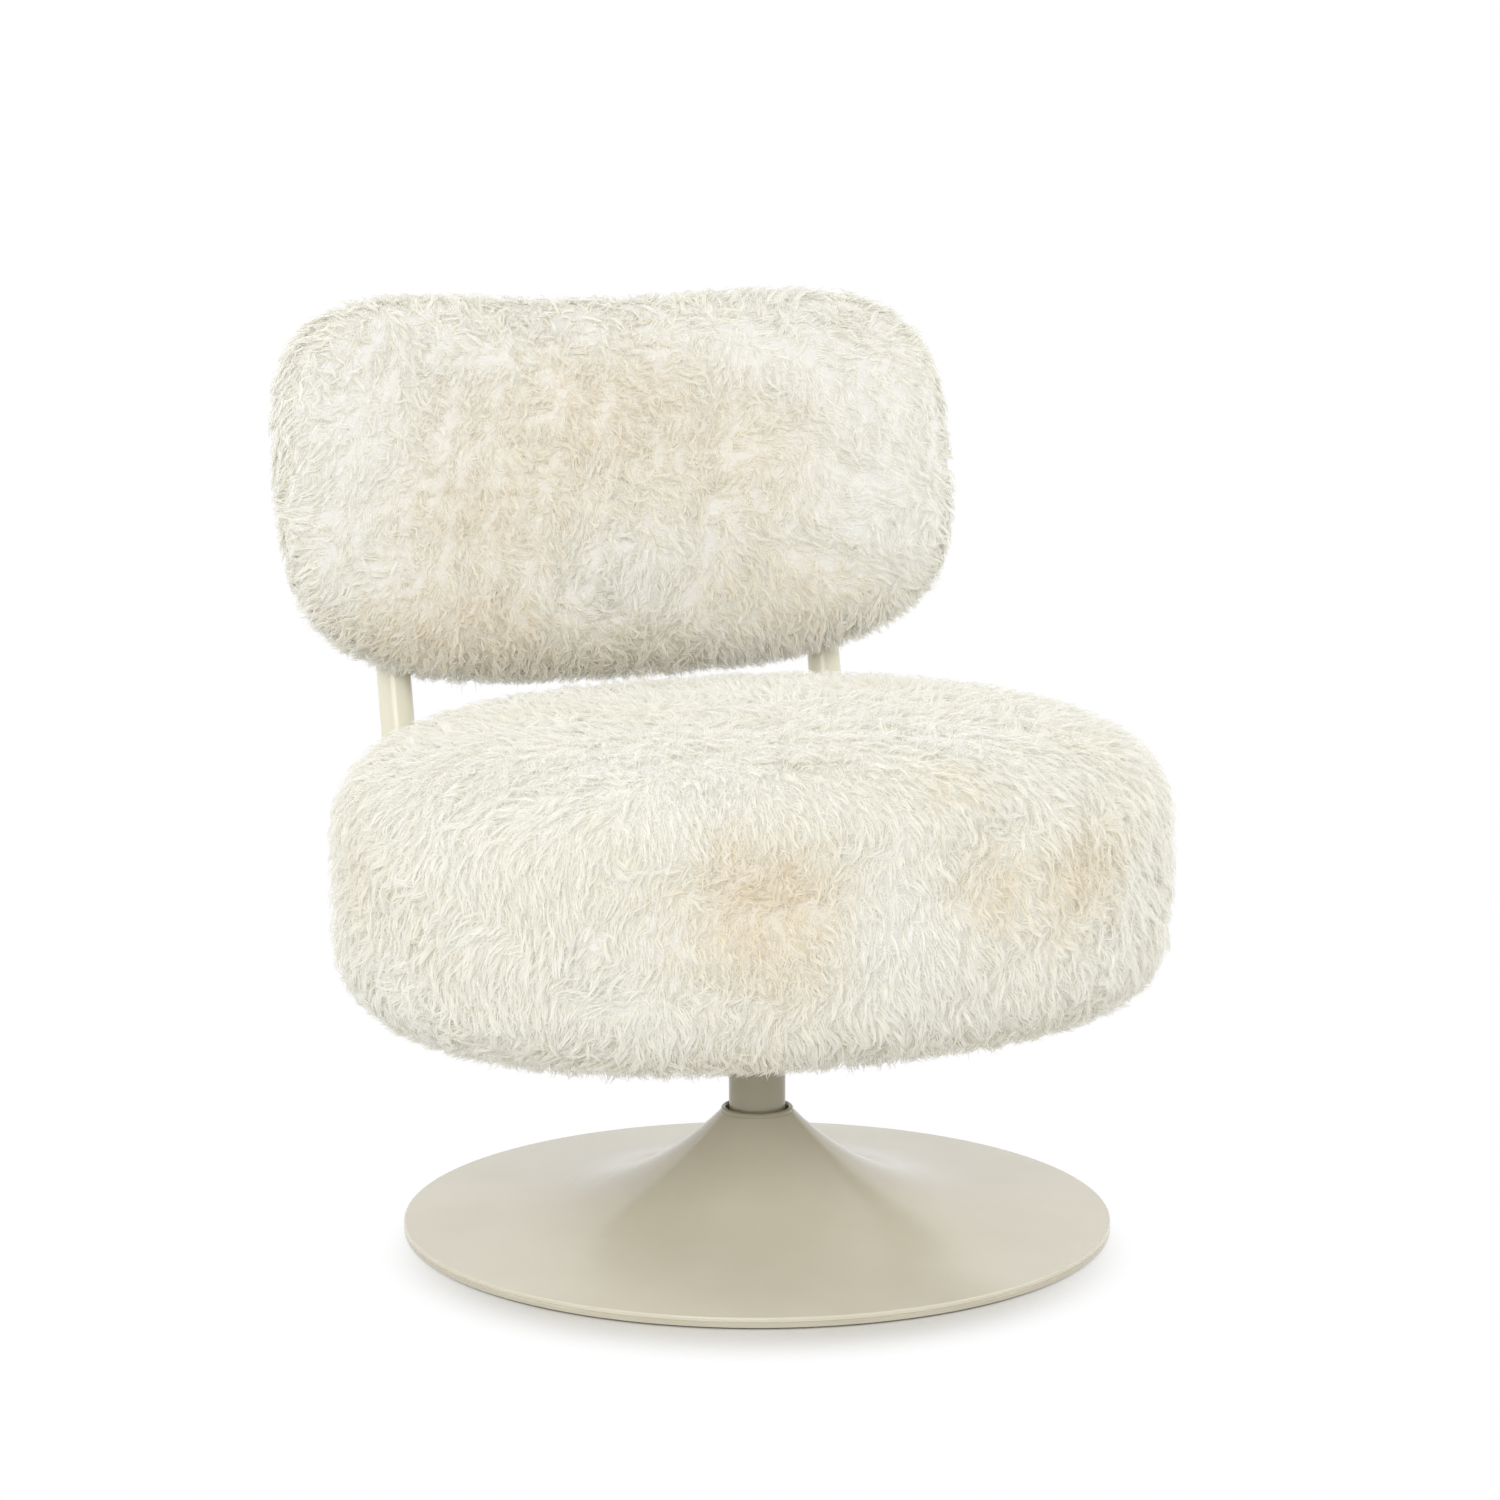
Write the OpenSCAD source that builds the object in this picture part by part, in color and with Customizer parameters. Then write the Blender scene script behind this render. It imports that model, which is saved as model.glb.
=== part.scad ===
// Swivel lounge chair: a round trumpet foot, a short turning column, a deep oval seat cushion
// and a curved back cushion on two leaning tubes. Both cushions are covered in sheepskin.
// +Z is up, the sitter faces -Y, and the origin is on the floor under the column.

/* [Foot] */
// Diameter of the round foot
base_d = 600; // [500:5:720]
// Thickness of the felt under the foot
felt_t = 1.5; // [1:0.5:4]
// How far the felt stops short of the edge of the foot
felt_inset = 8; // [4:1:20]
// Thickness of the steel base plate
plate_t = 4; // [4:0.5:8]
// Height of the cover's turned-down lip above the plate
lip_h = 4; // [3.5:0.5:8]
// Sheet thickness of the spun cover
cover_t = 1.5; // [1:0.25:2]
// Height that the cover rises from its lip to its neck
cover_rise = 88.5; // [75:0.5:110]
// Angle at which the cover already rises at its lip, in degrees
lip_angle = 3.5; // [0:0.1:5]
// How tightly the cover flares to its neck; a higher number is a tighter trumpet
flare_power = 3.6; // [2.8:0.1:4.2]
// Radius of the rounded upper edge of the lip
lip_round = 1.5; // [0.5:0.25:2.5]
// Chamfer on the edges where plate and cover meet, which draws the shadow line
edge_chamfer = 0.6; // [0.2:0.1:1]

/* [Column] */
// Outer diameter of the column tube
column_d = 48; // [48:0.5:56]
// Wall of the column tube
column_wall = 2.5; // [2:0.25:2.75]
// Gap all round between the column and the collar
collar_gap = 2.6; // [1.5:0.1:4]
// Width of the collar ring
collar_w = 4; // [3:0.25:6]
// Height of the collar ring
collar_h = 4; // [3:0.25:8]
// Wall of the sleeve that holds the cover's neck up
sleeve_wall = 2.5; // [1.5:0.25:3.5]
// Diameter of the round flange that carries the seat board
flange_d = 260; // [240:5:270]
// Thickness of that flange
flange_t = 6; // [4:0.5:8]
// Diameter of the circle that its bolts stand on
flange_bolt_circle = 216; // [180:4:216]
// Number of bolts in the flange
flange_bolt_count = 6; // [4:1:8]

/* [Swivel] */
// Diameter of the fixed post
post_d = 25; // [20:0.5:25]
// Diameter of the post's foot
post_foot_d = 110; // [100:5:140]
// Thickness of the post's foot
post_foot_t = 6; // [5:0.5:10]
// Diameter of the boss under the bearing
boss_d = 44; // [38:1:46]
// Height of that boss
boss_h = 24.5; // [15:0.5:35]
// Radial clearance of the turning fits
running_gap = 0.05; // [0.02:0.01:0.08]
// Height clearance between the column and the retaining washer
end_play = 0.3; // [0.2:0.05:0.5]
// Diameter of the bearing balls
ball_d = 6; // [5:0.25:6]
// Number of bearing balls
ball_count = 14; // [8:1:14]
// Thickness of each bearing race
race_t = 3.3; // [2.5:0.1:5]
// Depth of the ball groove in each race
groove_depth = 0.8; // [0.4:0.1:1]
// Thickness of the ball cage
cage_t = 2.4; // [1.6:0.2:2.8]
// Length of each bush in the column
bush_l = 28; // [15:1:36]
// Thickness of the retaining washer
retainer_t = 2.5; // [1.5:0.25:3]
// Thickness of the retaining ring
clip_t = 1.6; // [1:0.1:2]
// Length of post that stands above the retaining ring
post_nose = 4; // [2:0.5:5]
// Diameter of the circle of screws in the post's foot
foot_screw_circle = 84; // [76:1:90]
// Number of those screws
foot_screw_count = 4; // [3:1:8]
// Thread diameter of those screws
foot_screw_d = 6; // [5:0.5:6]
// Head diameter of those screws
foot_screw_head_d = 11.6; // [10:0.2:12]

/* [Seat] */
// Height of the seat cushion's underside above the floor
seat_clearance = 190; // [182:2:260]
// Width of the seat cushion
seat_w = 711; // [650:5:800]
// Depth of the seat cushion in front of the column
seat_front = 276; // [260:2:330]
// Depth of the seat cushion behind the column
seat_rear = 287; // [271:2:331]
// Height of the seat cushion from its underside to its crown
seat_h = 261; // [220:2:300]
// Height of its widest level above its underside
seat_widest = 128; // [110:2:150]
// Squareness of the cushion seen from above; 2 is an ellipse
seat_plan_power = 2.28; // [2:0.02:3]
// Squareness of the upper half seen from the front
seat_top_power = 3.43; // [2.6:0.05:4.5]
// Squareness of the lower half seen from the front
seat_foot_power = 5.1; // [4.5:0.1:7]
// Thickness of the sheepskin, with its wool pressed down
hide_t = 6; // [4:0.5:8]
// Thickness of the plywood seat board
seat_board_t = 18; // [16:1:24]
// Thickness of the cloth under the seat
dust_cloth_t = 1.2; // [0.8:0.2:2]

/* [Back] */
// Width of the back cushion
back_w = 645; // [600:5:720]
// Height of the back cushion
back_h = 351; // [330:1:400]
// Thickness of the back cushion in front of its middle
back_front_t = 57; // [54:1:80]
// Thickness of the back cushion behind its middle
back_rear_t = 66; // [64:1:85]
// Height of the back's centre above the crown of the seat
back_above_seat = 157.5; // [145:0.5:200]
// Lean of the back and its tubes, in degrees
back_lean = 11; // [6:0.5:13]
// How far the two ends of the back come forward
back_wrap = 56; // [30:1:60]
// How much fuller the upper corners are than the middle of the top edge
corner_rise = 38; // [20:1:40]
// Squareness of the back seen from the front
back_power = 3.26; // [2.8:0.02:4]
// Squareness of the back's edge seen from the side
back_edge_power = 2.74; // [2.5:0.02:3.5]
// Width of the plywood back board
back_board_w = 500; // [470:5:510]
// Height of the plywood back board
back_board_h = 240; // [200:5:250]
// Thickness of the plywood back board
back_board_t = 15; // [12:1:16]

/* [Uprights] */
// Outer diameter of the two tubes that carry the back
tube_d = 30; // [28:0.5:32]
// Wall of those tubes
tube_wall = 2; // [1.5:0.25:3]
// Distance between the two tubes, centre to centre
tube_spacing = 422; // [400:2:430]
// Gap between the seat cushion and each tube at the cushion's widest level
tube_gap = 17; // [14:0.5:30]
// Distance of the tubes behind the middle plane of the back
tube_set_back = 5; // [2:0.5:8]
// Radius of the bend under the seat
bend_r = 60; // [50:1:70]
// How high the tubes reach above the back's centre
tube_reach = 60; // [58:1:66]
// Distance between the two bolts through each tube under the seat
rail_bolt_pitch = 60; // [40:2:70]
// Distance between the two screws that hold the board on each tube
back_screw_pitch = 90; // [60:2:90]

/* [Fasteners] */
// Thread diameter of the bolts in the seat board
bolt_d = 8; // [6:0.5:8]
// Width of their hexagon heads across the flats
bolt_af = 13; // [10:0.5:14]
// Height of their heads
bolt_head_h = 5.3; // [4:0.1:6]
// Thickness of the washers under the flange bolts
washer_t = 1.6; // [1:0.2:2]
// Diameter of those washers
washer_d = 17; // [16:1:20]
// Diameter of the tee nuts' round flanges
tee_nut_d = 22; // [18:1:24]
// Thickness of those flanges
tee_nut_t = 1.5; // [1:0.1:2]
// Diameter of the tee nuts' barrels
tee_barrel_d = 11; // [10:0.5:12]
// Thread diameter of the screws in the back board
back_screw_d = 6; // [5:0.5:6]
// Diameter of the round heads of those screws
back_screw_head_d = 12; // [10:0.5:12]

/* [Hidden] */

$fn = 96;
// Overrun of every cut past the face it opens
cut = 1;
// Space left round a threaded or loosely fitted part
loose = 0.1;
// Space left between soft parts and what they lie against
slack = 0.3;
// Wider space round bolts, in holes that only clear them
bolt_room = 0.5;

// Colours
paint_foot = [0.78, 0.75, 0.69];
paint_tube = [0.88, 0.86, 0.79];
paint_plate = [0.74, 0.72, 0.66];
steel = [0.68, 0.69, 0.70];
bright_steel = [0.80, 0.81, 0.82];
bronze = [0.72, 0.56, 0.33];
black = [0.12, 0.12, 0.12];
felt = [0.28, 0.27, 0.26];
ply = [0.82, 0.68, 0.49];
foam = [0.93, 0.90, 0.74];
fleece = [0.93, 0.91, 0.84];
cloth = [0.86, 0.84, 0.78];

// Levels in the foot
foot_r = base_d / 2;
plate_top = felt_t + plate_t;
lip_top = plate_top + lip_h;
neck_top = lip_top + cover_rise;
post_foot_top = plate_top + post_foot_t;
boss_top = post_foot_top + boss_h;

// Radii round the column
column_r = column_d / 2;
column_bore_r = column_r - column_wall;
collar_in_r = column_r + collar_gap;
collar_out_r = collar_in_r + collar_w;
neck_r = collar_out_r + edge_chamfer;
flare_w = foot_r - lip_round - neck_r;
flare_rise = cover_rise - flare_w * tan(lip_angle);
sleeve_out_r = collar_in_r + sleeve_wall;
flare_points = 26;
lip_arc_points = 6;

// Bearing, from the boss upwards
post_r = post_d / 2;
ball_r = ball_d / 2;
race_out_r = column_bore_r - bolt_room;
race_mid_r = (post_r + race_out_r) / 2;
groove_r = ball_r + running_gap;
lower_race_top = boss_top + race_t;
ball_z = lower_race_top - groove_depth + ball_r + running_gap;
upper_race_bottom = ball_z + ball_r + running_gap - groove_depth;
upper_race_top = upper_race_bottom + race_t;
cage_half_w = (race_out_r - post_r) / 2 - bolt_room;
column_bottom = upper_race_bottom + slack;

// Levels at the top of the column
flange_bottom = seat_clearance;
board_bottom = seat_clearance + flange_t;
board_top = board_bottom + seat_board_t;
upper_bush_top = flange_bottom - end_play - retainer_t - clip_t - post_nose - bolt_head_h / 2;
retainer_bottom = upper_bush_top + end_play;
clip_bottom = retainer_bottom + retainer_t + loose;
post_top = clip_bottom + clip_t + post_nose;
clip_groove_r = post_r - running_gap * 2 - clip_t / 2;
clip_out_r = post_r + clip_t * 2.5;
retainer_r = post_r + clip_t * 4;
flange_bore_r = column_bore_r;

// Bolts and tee nuts
bolt_r = bolt_d / 2;
bolt_hole_r = bolt_r + bolt_room;
bolt_end = board_top - tee_nut_t - bolt_room;
tee_barrel_r = tee_barrel_d / 2;
tee_barrel_l = seat_board_t / 2;

// Seat cushion; heights inside the form are counted from its widest level
cushion_sides = 40;
seat_mid_z = seat_clearance + seat_widest;
seat_top_h = seat_h - seat_widest;
// The flat underside cuts the lower half off at this share of its depth
flat_share = 0.93;
seat_foot_h = seat_widest / flat_share;
flat_angle = 60;
outer_angles = [82, 74, 66, 58, 50, 42, 34, 26, 18, 10, 0, -7, -14, -21, -28, -36, -44, -52, -flat_angle];
inner_angles = [70, 50, 32, 14, -12, -36, -flat_angle];
// Outlines of the board, the cloth and the turned-in hide, as shares of the cushion's plan
board_share = 0.97 * pow(cos(flat_angle), 2 / seat_foot_power);
dust_share = 0.97 * board_share;
hem_share = 0.56;

// Back cushion, in its own leaning frame with the origin at its centre
back_z = seat_clearance + seat_h + back_above_seat;
tube_r = tube_d / 2;
tube_x = tube_spacing / 2;
// The top edge turns from dipped to raised where the square of the width share passes this
rise_share = 0.4;
// Each half of the cover stops this far short of the middle plane, in degrees of depth, for the seam
seam_angle = 0.02;
front_angles = [-82, -73, -64, -55, -46, -37, -28, -19, -9, -seam_angle];
back_inner_angles = [-68, -50, -30, -seam_angle];
core_angles = [-68, -50, -30, -seam_angle, seam_angle, 30, 50, 68];

// Rivet nuts in the tubes, and screws through the board into them
rivet_flange_t = 1;
rivet_flange_r = back_screw_d;
rivet_wall = 1.5;
rivet_barrel_r = back_screw_d / 2 + rivet_wall;
rivet_l = back_screw_d * 2;
screw_recess = back_board_t * 0.45;
screw_head_h = back_screw_d * 0.6;
screw_washer_t = 1.5;
screw_washer_rim = 2;
screw_washer_r = back_screw_head_d / 2 + screw_washer_rim;
board_rear_y = tube_set_back - tube_d / 2 - rivet_flange_t - slack;
board_front_y = board_rear_y - back_board_t;

// Tubes: the leaning run passes behind the cushion at its widest level
cushion_rear_y = seat_rear * pow(1 - pow(tube_x / (seat_w / 2), seat_plan_power), 1 / seat_plan_power);
tube_mid_y = cushion_rear_y + tube_gap + tube_r / cos(back_lean);
mid_level_in_back = (seat_mid_z - back_z + tube_set_back * sin(back_lean)) / cos(back_lean);
back_y = tube_mid_y - tube_set_back * cos(back_lean) - mid_level_in_back * sin(back_lean);
rail_z = seat_clearance - dust_cloth_t - slack - tube_r;
corner_y = tube_mid_y - (seat_mid_z - rail_z) * tan(back_lean);
rail_end_y = corner_y - bend_r * tan((90 - back_lean) / 2);
bend_top_y = rail_end_y + bend_r * cos(back_lean);
bend_top_z = rail_z + bend_r - bend_r * sin(back_lean);
bend_top_in_back = (bend_top_y - back_y) * sin(back_lean) + (bend_top_z - back_z) * cos(back_lean);
tube_run = tube_reach - bend_top_in_back;
// Rail bolts keep this distance from the board's edge, and the rail runs on past them
rail_bolt_edge = 26;
rail_overhang = 30;
board_edge_share = pow(pow(board_share, seat_plan_power)
                       - pow(tube_x / (seat_w / 2), seat_plan_power), 1 / seat_plan_power);
rail_bolt_ys = [for (i = [0, 1]) seat_rear * board_edge_share - rail_bolt_edge - i * rail_bolt_pitch];
rail_start_y = rail_bolt_ys[1] - rail_overhang;
// The rail is drawn down a little: its wall is thinner by the step on both faces, and enters the bend by the lap
rail_lap = 1;
rail_step = 0.25;
plug_flange_t = 3;
plug_depth = 9;

// Signed power, which keeps the sign of v
function spow(v, p) = sign(v) * pow(abs(v), p);

// Points from a list of rings between two poles, and the faces that join them. A filling is cut along
// the other diagonal than the skin round it, so that the two match, because the skin's inside is inside out.
function form_points(first_pole, rings, last_pole) =
    concat([first_pole], [for (ring = rings) each ring], [last_pole]);
function form_faces(n, count, filling) = concat(
    [for (i = [0 : n - 1]) [0, 1 + (i + 1) % n, 1 + i]],
    [for (k = [0 : count - 2], i = [0 : n - 1])
        each let (a = 1 + k * n + i, b = 1 + k * n + (i + 1) % n)
            filling ? [[a, b, a + n], [b, b + n, a + n]] : [[a, b, b + n], [a, b + n, a + n]]],
    [for (i = [0 : n - 1]) let (s = 1 + (count - 1) * n) [1 + count * n, s + i, s + (i + 1) % n]]);
module ring_form(first_pole, rings, last_pole, filling = false) {
    polyhedron(form_points(first_pole, rings, last_pole), form_faces(len(rings[0]), len(rings), filling));
}

// A point on the seat cushion at plan angle u and height angle v, drawn in by inset
function seat_point(u, v, inset) =
    let (power = v > 0 ? seat_top_power : seat_foot_power,
         spread = pow(cos(v), 2 / power),
         deep = (sin(u) > 0 ? seat_rear : seat_front) - inset,
         high = (v > 0 ? seat_top_h : seat_foot_h) - inset)
    [(seat_w / 2 - inset) * spow(cos(u), 2 / seat_plan_power) * spread,
     deep * spow(sin(u), 2 / seat_plan_power) * spread,
     max(high * spow(sin(v), 2 / power), inset - seat_widest)];
function seat_ring(v, inset) = [for (i = [0 : cushion_sides - 1]) seat_point(360 * i / cushion_sides, v, inset)];
// The cushion's plan outline at a share of its size, grown by a margin
function plan_outline(share, margin) = [for (i = [0 : cushion_sides - 1])
    let (u = 360 * i / cushion_sides, deep = sin(u) > 0 ? seat_rear : seat_front)
    [(seat_w / 2 * share + margin) * spow(cos(u), 2 / seat_plan_power),
     (deep * share + margin) * spow(sin(u), 2 / seat_plan_power)]];
function plan_ring(share, margin, z) = [for (p = plan_outline(share, margin)) [p.x, p.y, z]];

// A point on the back cushion at face angle w and depth angle v, drawn in by inset
function back_point(w, v, inset) =
    let (spread = pow(cos(v), 2 / back_edge_power),
         deep = (v > 0 ? back_rear_t : back_front_t) - inset,
         xs = spow(cos(w), 2 / back_power) * spread,
         zs = spow(sin(w), 2 / back_power) * spread)
    [(back_w / 2 - inset) * xs,
     deep * spow(sin(v), 2 / back_edge_power) - back_wrap * xs * xs,
     (back_h / 2 - inset) * zs + corner_rise * (xs * xs - rise_share) * max(zs, 0)];
function back_ring(v, inset, turn) =
    [for (i = [0 : cushion_sides - 1]) back_point(turn * 360 * i / cushion_sides, v, inset)];

// Places children in the leaning frame of the back
module in_back() {
    translate([0, back_y, back_z]) rotate([-back_lean, 0, 0]) children();
}
// Repeats children round the column axis
module around(count, radius) {
    for (i = [0 : count - 1]) rotate([0, 0, (i + 0.5) * 360 / count]) translate([radius, 0, 0]) children();
}
// Repeats children at the four bolts of the two rails
module at_rail_bolts() {
    for (side = [-1, 1], y = rail_bolt_ys) translate([side * tube_x, y, 0]) children();
}
// Repeats children at the four screws of the back board, with +Z turned to the rear
module at_back_screws() {
    in_back() for (side = [-1, 1], up = [-1, 1])
        translate([side * tube_x, 0, up * back_screw_pitch / 2]) rotate([-90, 0, 0]) children();
}
module ring(out_r, in_r, h) {
    difference() {
        cylinder(r = out_r, h = h);
        translate([0, 0, -cut]) cylinder(r = in_r, h = h + 2 * cut);
    }
}

// The foot
module floor_felt() {
    color(felt) cylinder(r = foot_r - felt_inset, h = felt_t);
}
module countersink(room) {
    head_h = (foot_screw_head_d - foot_screw_d) / 2;
    cylinder(r1 = foot_screw_head_d / 2 + room, r2 = foot_screw_d / 2 + room, h = head_h);
    translate([0, 0, head_h - slack]) cylinder(r = foot_screw_d / 2 + room, h = plate_t + post_foot_t - head_h);
}
module base_plate() {
    color(paint_plate) difference() {
        rotate_extrude() polygon([
            [0, felt_t], [foot_r, felt_t], [foot_r, plate_top - edge_chamfer],
            [foot_r - edge_chamfer, plate_top], [0, plate_top]]);
        around(foot_screw_count, foot_screw_circle / 2) translate([0, 0, felt_t]) countersink(loose);
        around(foot_screw_count, foot_screw_circle / 2)
            translate([0, 0, felt_t - cut]) cylinder(r = foot_screw_head_d / 2 + loose, h = cut);
    }
}
// Height and slope of the cover's outside at radius r
function flare_share(r) = (foot_r - lip_round - r) / flare_w;
function flare_z(r) = lip_top + flare_w * flare_share(r) * tan(lip_angle)
    + flare_rise * pow(flare_share(r), flare_power);
function flare_slope(r) = tan(lip_angle) + flare_rise * flare_power / flare_w * pow(flare_share(r), flare_power - 1);
function flare_r(i) = neck_r + flare_w * i / flare_points;
function flare_inside(r) = let (s = flare_slope(r), n = sqrt(1 + s * s)) [r - cover_t * s / n, flare_z(r) - cover_t / n];
module base_cover() {
    outside = [for (i = [0 : flare_points]) [flare_r(i), flare_z(flare_r(i))]];
    lip = [for (i = [1 : lip_arc_points]) let (a = 90 - 90 * i / lip_arc_points)
        [foot_r - lip_round + lip_round * cos(a), lip_top - lip_round + lip_round * sin(a)]];
    inside = [for (i = [flare_points - 1 : -1 : 0]) flare_inside(flare_r(i))];
    color(paint_foot) rotate_extrude() polygon(concat(
        [[collar_in_r, neck_top]], outside, lip,
        [[foot_r, plate_top + edge_chamfer], [foot_r - edge_chamfer, plate_top],
         [foot_r - cover_t, plate_top], [foot_r - cover_t, lip_top - cover_t]],
        inside,
        [[sleeve_out_r, neck_top - cover_t], [collar_in_r, neck_top - cover_t]]));
}
module support_sleeve() {
    color(steel) translate([0, 0, post_foot_top])
        ring(sleeve_out_r, collar_in_r, neck_top - cover_t - post_foot_top);
}
module collar_ring() {
    round_r = collar_w / 2;
    color(paint_foot) rotate_extrude() polygon(concat(
        [[collar_in_r, neck_top], [collar_out_r, neck_top]],
        [for (a = [0 : 15 : 180])
            [collar_in_r + round_r + round_r * cos(a), neck_top + collar_h - round_r + round_r * sin(a)]]));
}

// The fixed half of the swivel
module pivot_post() {
    chamfer = clip_t / 2;
    color(steel) difference() {
        rotate_extrude() polygon([
            [0, plate_top], [post_foot_d / 2, plate_top], [post_foot_d / 2, post_foot_top],
            [boss_d / 2, post_foot_top], [boss_d / 2, boss_top], [post_r, boss_top],
            [post_r, clip_bottom - running_gap], [clip_groove_r, clip_bottom - running_gap],
            [clip_groove_r, clip_bottom + clip_t + running_gap], [post_r, clip_bottom + clip_t + running_gap],
            [post_r, post_top - chamfer], [post_r - chamfer, post_top], [0, post_top]]);
        around(foot_screw_count, foot_screw_circle / 2)
            translate([0, 0, plate_top - cut]) cylinder(r = foot_screw_d / 2 + loose, h = post_foot_t + 2 * cut);
    }
}
module foot_screws() {
    color(bright_steel) around(foot_screw_count, foot_screw_circle / 2) translate([0, 0, felt_t]) countersink(0);
}
module race(z, groove_z, in_r) {
    difference() {
        translate([0, 0, z]) ring(race_out_r, in_r, race_t);
        translate([0, 0, groove_z]) rotate_extrude() translate([race_mid_r, 0]) circle(r = groove_r);
    }
}
module bearing_lower_race() {
    color(bright_steel) race(boss_top, ball_z, post_r + running_gap);
}
module retaining_washer() {
    color(steel) translate([0, 0, retainer_bottom]) ring(retainer_r, post_r + loose, retainer_t);
}
module retaining_ring() {
    gap_w = post_r;
    color(steel) translate([0, 0, clip_bottom]) difference() {
        ring(clip_out_r, clip_groove_r + running_gap, clip_t);
        translate([0, -gap_w / 2, -cut]) cube([clip_out_r + cut, gap_w, clip_t + 2 * cut]);
    }
}

// The balls in their cage, which turn at half the speed of the seat
module ball_cage() {
    color(bronze) difference() {
        translate([0, 0, ball_z - cage_t / 2])
            ring(race_mid_r + cage_half_w, race_mid_r - cage_half_w, cage_t);
        around(ball_count, race_mid_r) translate([0, 0, ball_z - cage_t])
            cylinder(r = ball_r + running_gap, h = 2 * cage_t);
    }
}
module bearing_balls() {
    color(bright_steel) around(ball_count, race_mid_r) translate([0, 0, ball_z]) sphere(r = ball_r);
}

// The turning half of the swivel
module bearing_upper_race() {
    color(bright_steel) race(upper_race_bottom, ball_z, post_r + bolt_room);
}
module bush(z) {
    color(bronze) translate([0, 0, z]) ring(column_bore_r, post_r + running_gap, bush_l);
}
module lower_bush() {
    bush(upper_race_top);
}
module upper_bush() {
    bush(upper_bush_top - bush_l);
}
module column_tube() {
    color(paint_foot) translate([0, 0, column_bottom])
        ring(column_r, column_bore_r, flange_bottom - column_bottom);
}
module column_flange() {
    color(paint_foot) difference() {
        translate([0, 0, flange_bottom]) ring(flange_d / 2, flange_bore_r, flange_t);
        around(flange_bolt_count, flange_bolt_circle / 2)
            translate([0, 0, flange_bottom - cut]) cylinder(r = bolt_hole_r, h = flange_t + 2 * cut);
    }
}
// A hexagon bolt whose head's upper face is at z
module bolt(z) {
    translate([0, 0, z - bolt_head_h]) cylinder(r = bolt_af / 2 / cos(30), h = bolt_head_h, $fn = 6);
    translate([0, 0, z - bolt_head_h / 2]) cylinder(r = bolt_r, h = bolt_end - z + bolt_head_h / 2);
}
module flange_bolts() {
    color(bright_steel) around(flange_bolt_count, flange_bolt_circle / 2) bolt(flange_bottom - washer_t);
}
module flange_washers() {
    color(bright_steel) around(flange_bolt_count, flange_bolt_circle / 2)
        translate([0, 0, flange_bottom - washer_t]) ring(washer_d / 2, bolt_hole_r, washer_t);
}

// The seat
module tee_nut() {
    translate([0, 0, board_top - tee_nut_t]) ring(tee_nut_d / 2, bolt_r + loose, tee_nut_t);
    translate([0, 0, board_top - tee_barrel_l]) ring(tee_barrel_r, bolt_r + loose, tee_barrel_l - tee_nut_t);
}
module seat_tee_nuts() {
    color(bright_steel) {
        around(flange_bolt_count, flange_bolt_circle / 2) tee_nut();
        at_rail_bolts() tee_nut();
    }
}
module tee_nut_hole() {
    translate([0, 0, board_bottom - cut]) cylinder(r = bolt_hole_r, h = seat_board_t);
    translate([0, 0, board_top - tee_barrel_l - loose]) cylinder(r = tee_barrel_r + loose, h = tee_barrel_l);
    translate([0, 0, board_top - tee_nut_t - loose]) cylinder(r = tee_nut_d / 2 + loose, h = tee_nut_t + cut);
}
module seat_board() {
    color(ply) difference() {
        translate([0, 0, board_bottom]) linear_extrude(seat_board_t) polygon(plan_outline(board_share, 0));
        around(flange_bolt_count, flange_bolt_circle / 2) tee_nut_hole();
        at_rail_bolts() tee_nut_hole();
    }
}
module dust_cloth() {
    z = seat_clearance - dust_cloth_t;
    color(cloth) difference() {
        translate([0, 0, z]) linear_extrude(dust_cloth_t) polygon(plan_outline(dust_share, 0));
        translate([0, 0, z - cut]) cylinder(r = flange_d / 2 + washer_d / 4, h = dust_cloth_t + 2 * cut);
        at_rail_bolts() translate([0, 0, z - cut]) cylinder(r = bolt_hole_r, h = dust_cloth_t + 2 * cut);
    }
}
module seat_foam() {
    inset = hide_t + slack;
    rings = [for (v = inner_angles) seat_ring(v, inset)];
    rim_z = hide_t + slack - seat_widest;
    deck_z = board_top + slack - seat_mid_z;
    color(foam) translate([0, 0, seat_mid_z]) ring_form(
        [0, 0, seat_top_h - inset],
        concat(rings, [plan_ring(board_share, slack, rim_z), plan_ring(board_share, slack, deck_z)]),
        [0, 0, deck_z], filling = true);
}
module seat_cover() {
    outside = [for (v = outer_angles) seat_ring(v, 0)];
    inside = [for (i = [len(inner_angles) - 1 : -1 : 0]) seat_ring(inner_angles[i], hide_t)];
    hem = [plan_ring(hem_share, 0, -seat_widest), plan_ring(hem_share, 0, hide_t - seat_widest)];
    color(fleece) difference() {
        translate([0, 0, seat_mid_z])
            ring_form([0, 0, seat_top_h], concat(outside, hem, inside), [0, 0, seat_top_h - hide_t]);
        at_rail_bolts() translate([0, 0, seat_clearance - cut]) cylinder(r = bolt_hole_r, h = hide_t + 2 * cut);
    }
}

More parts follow.
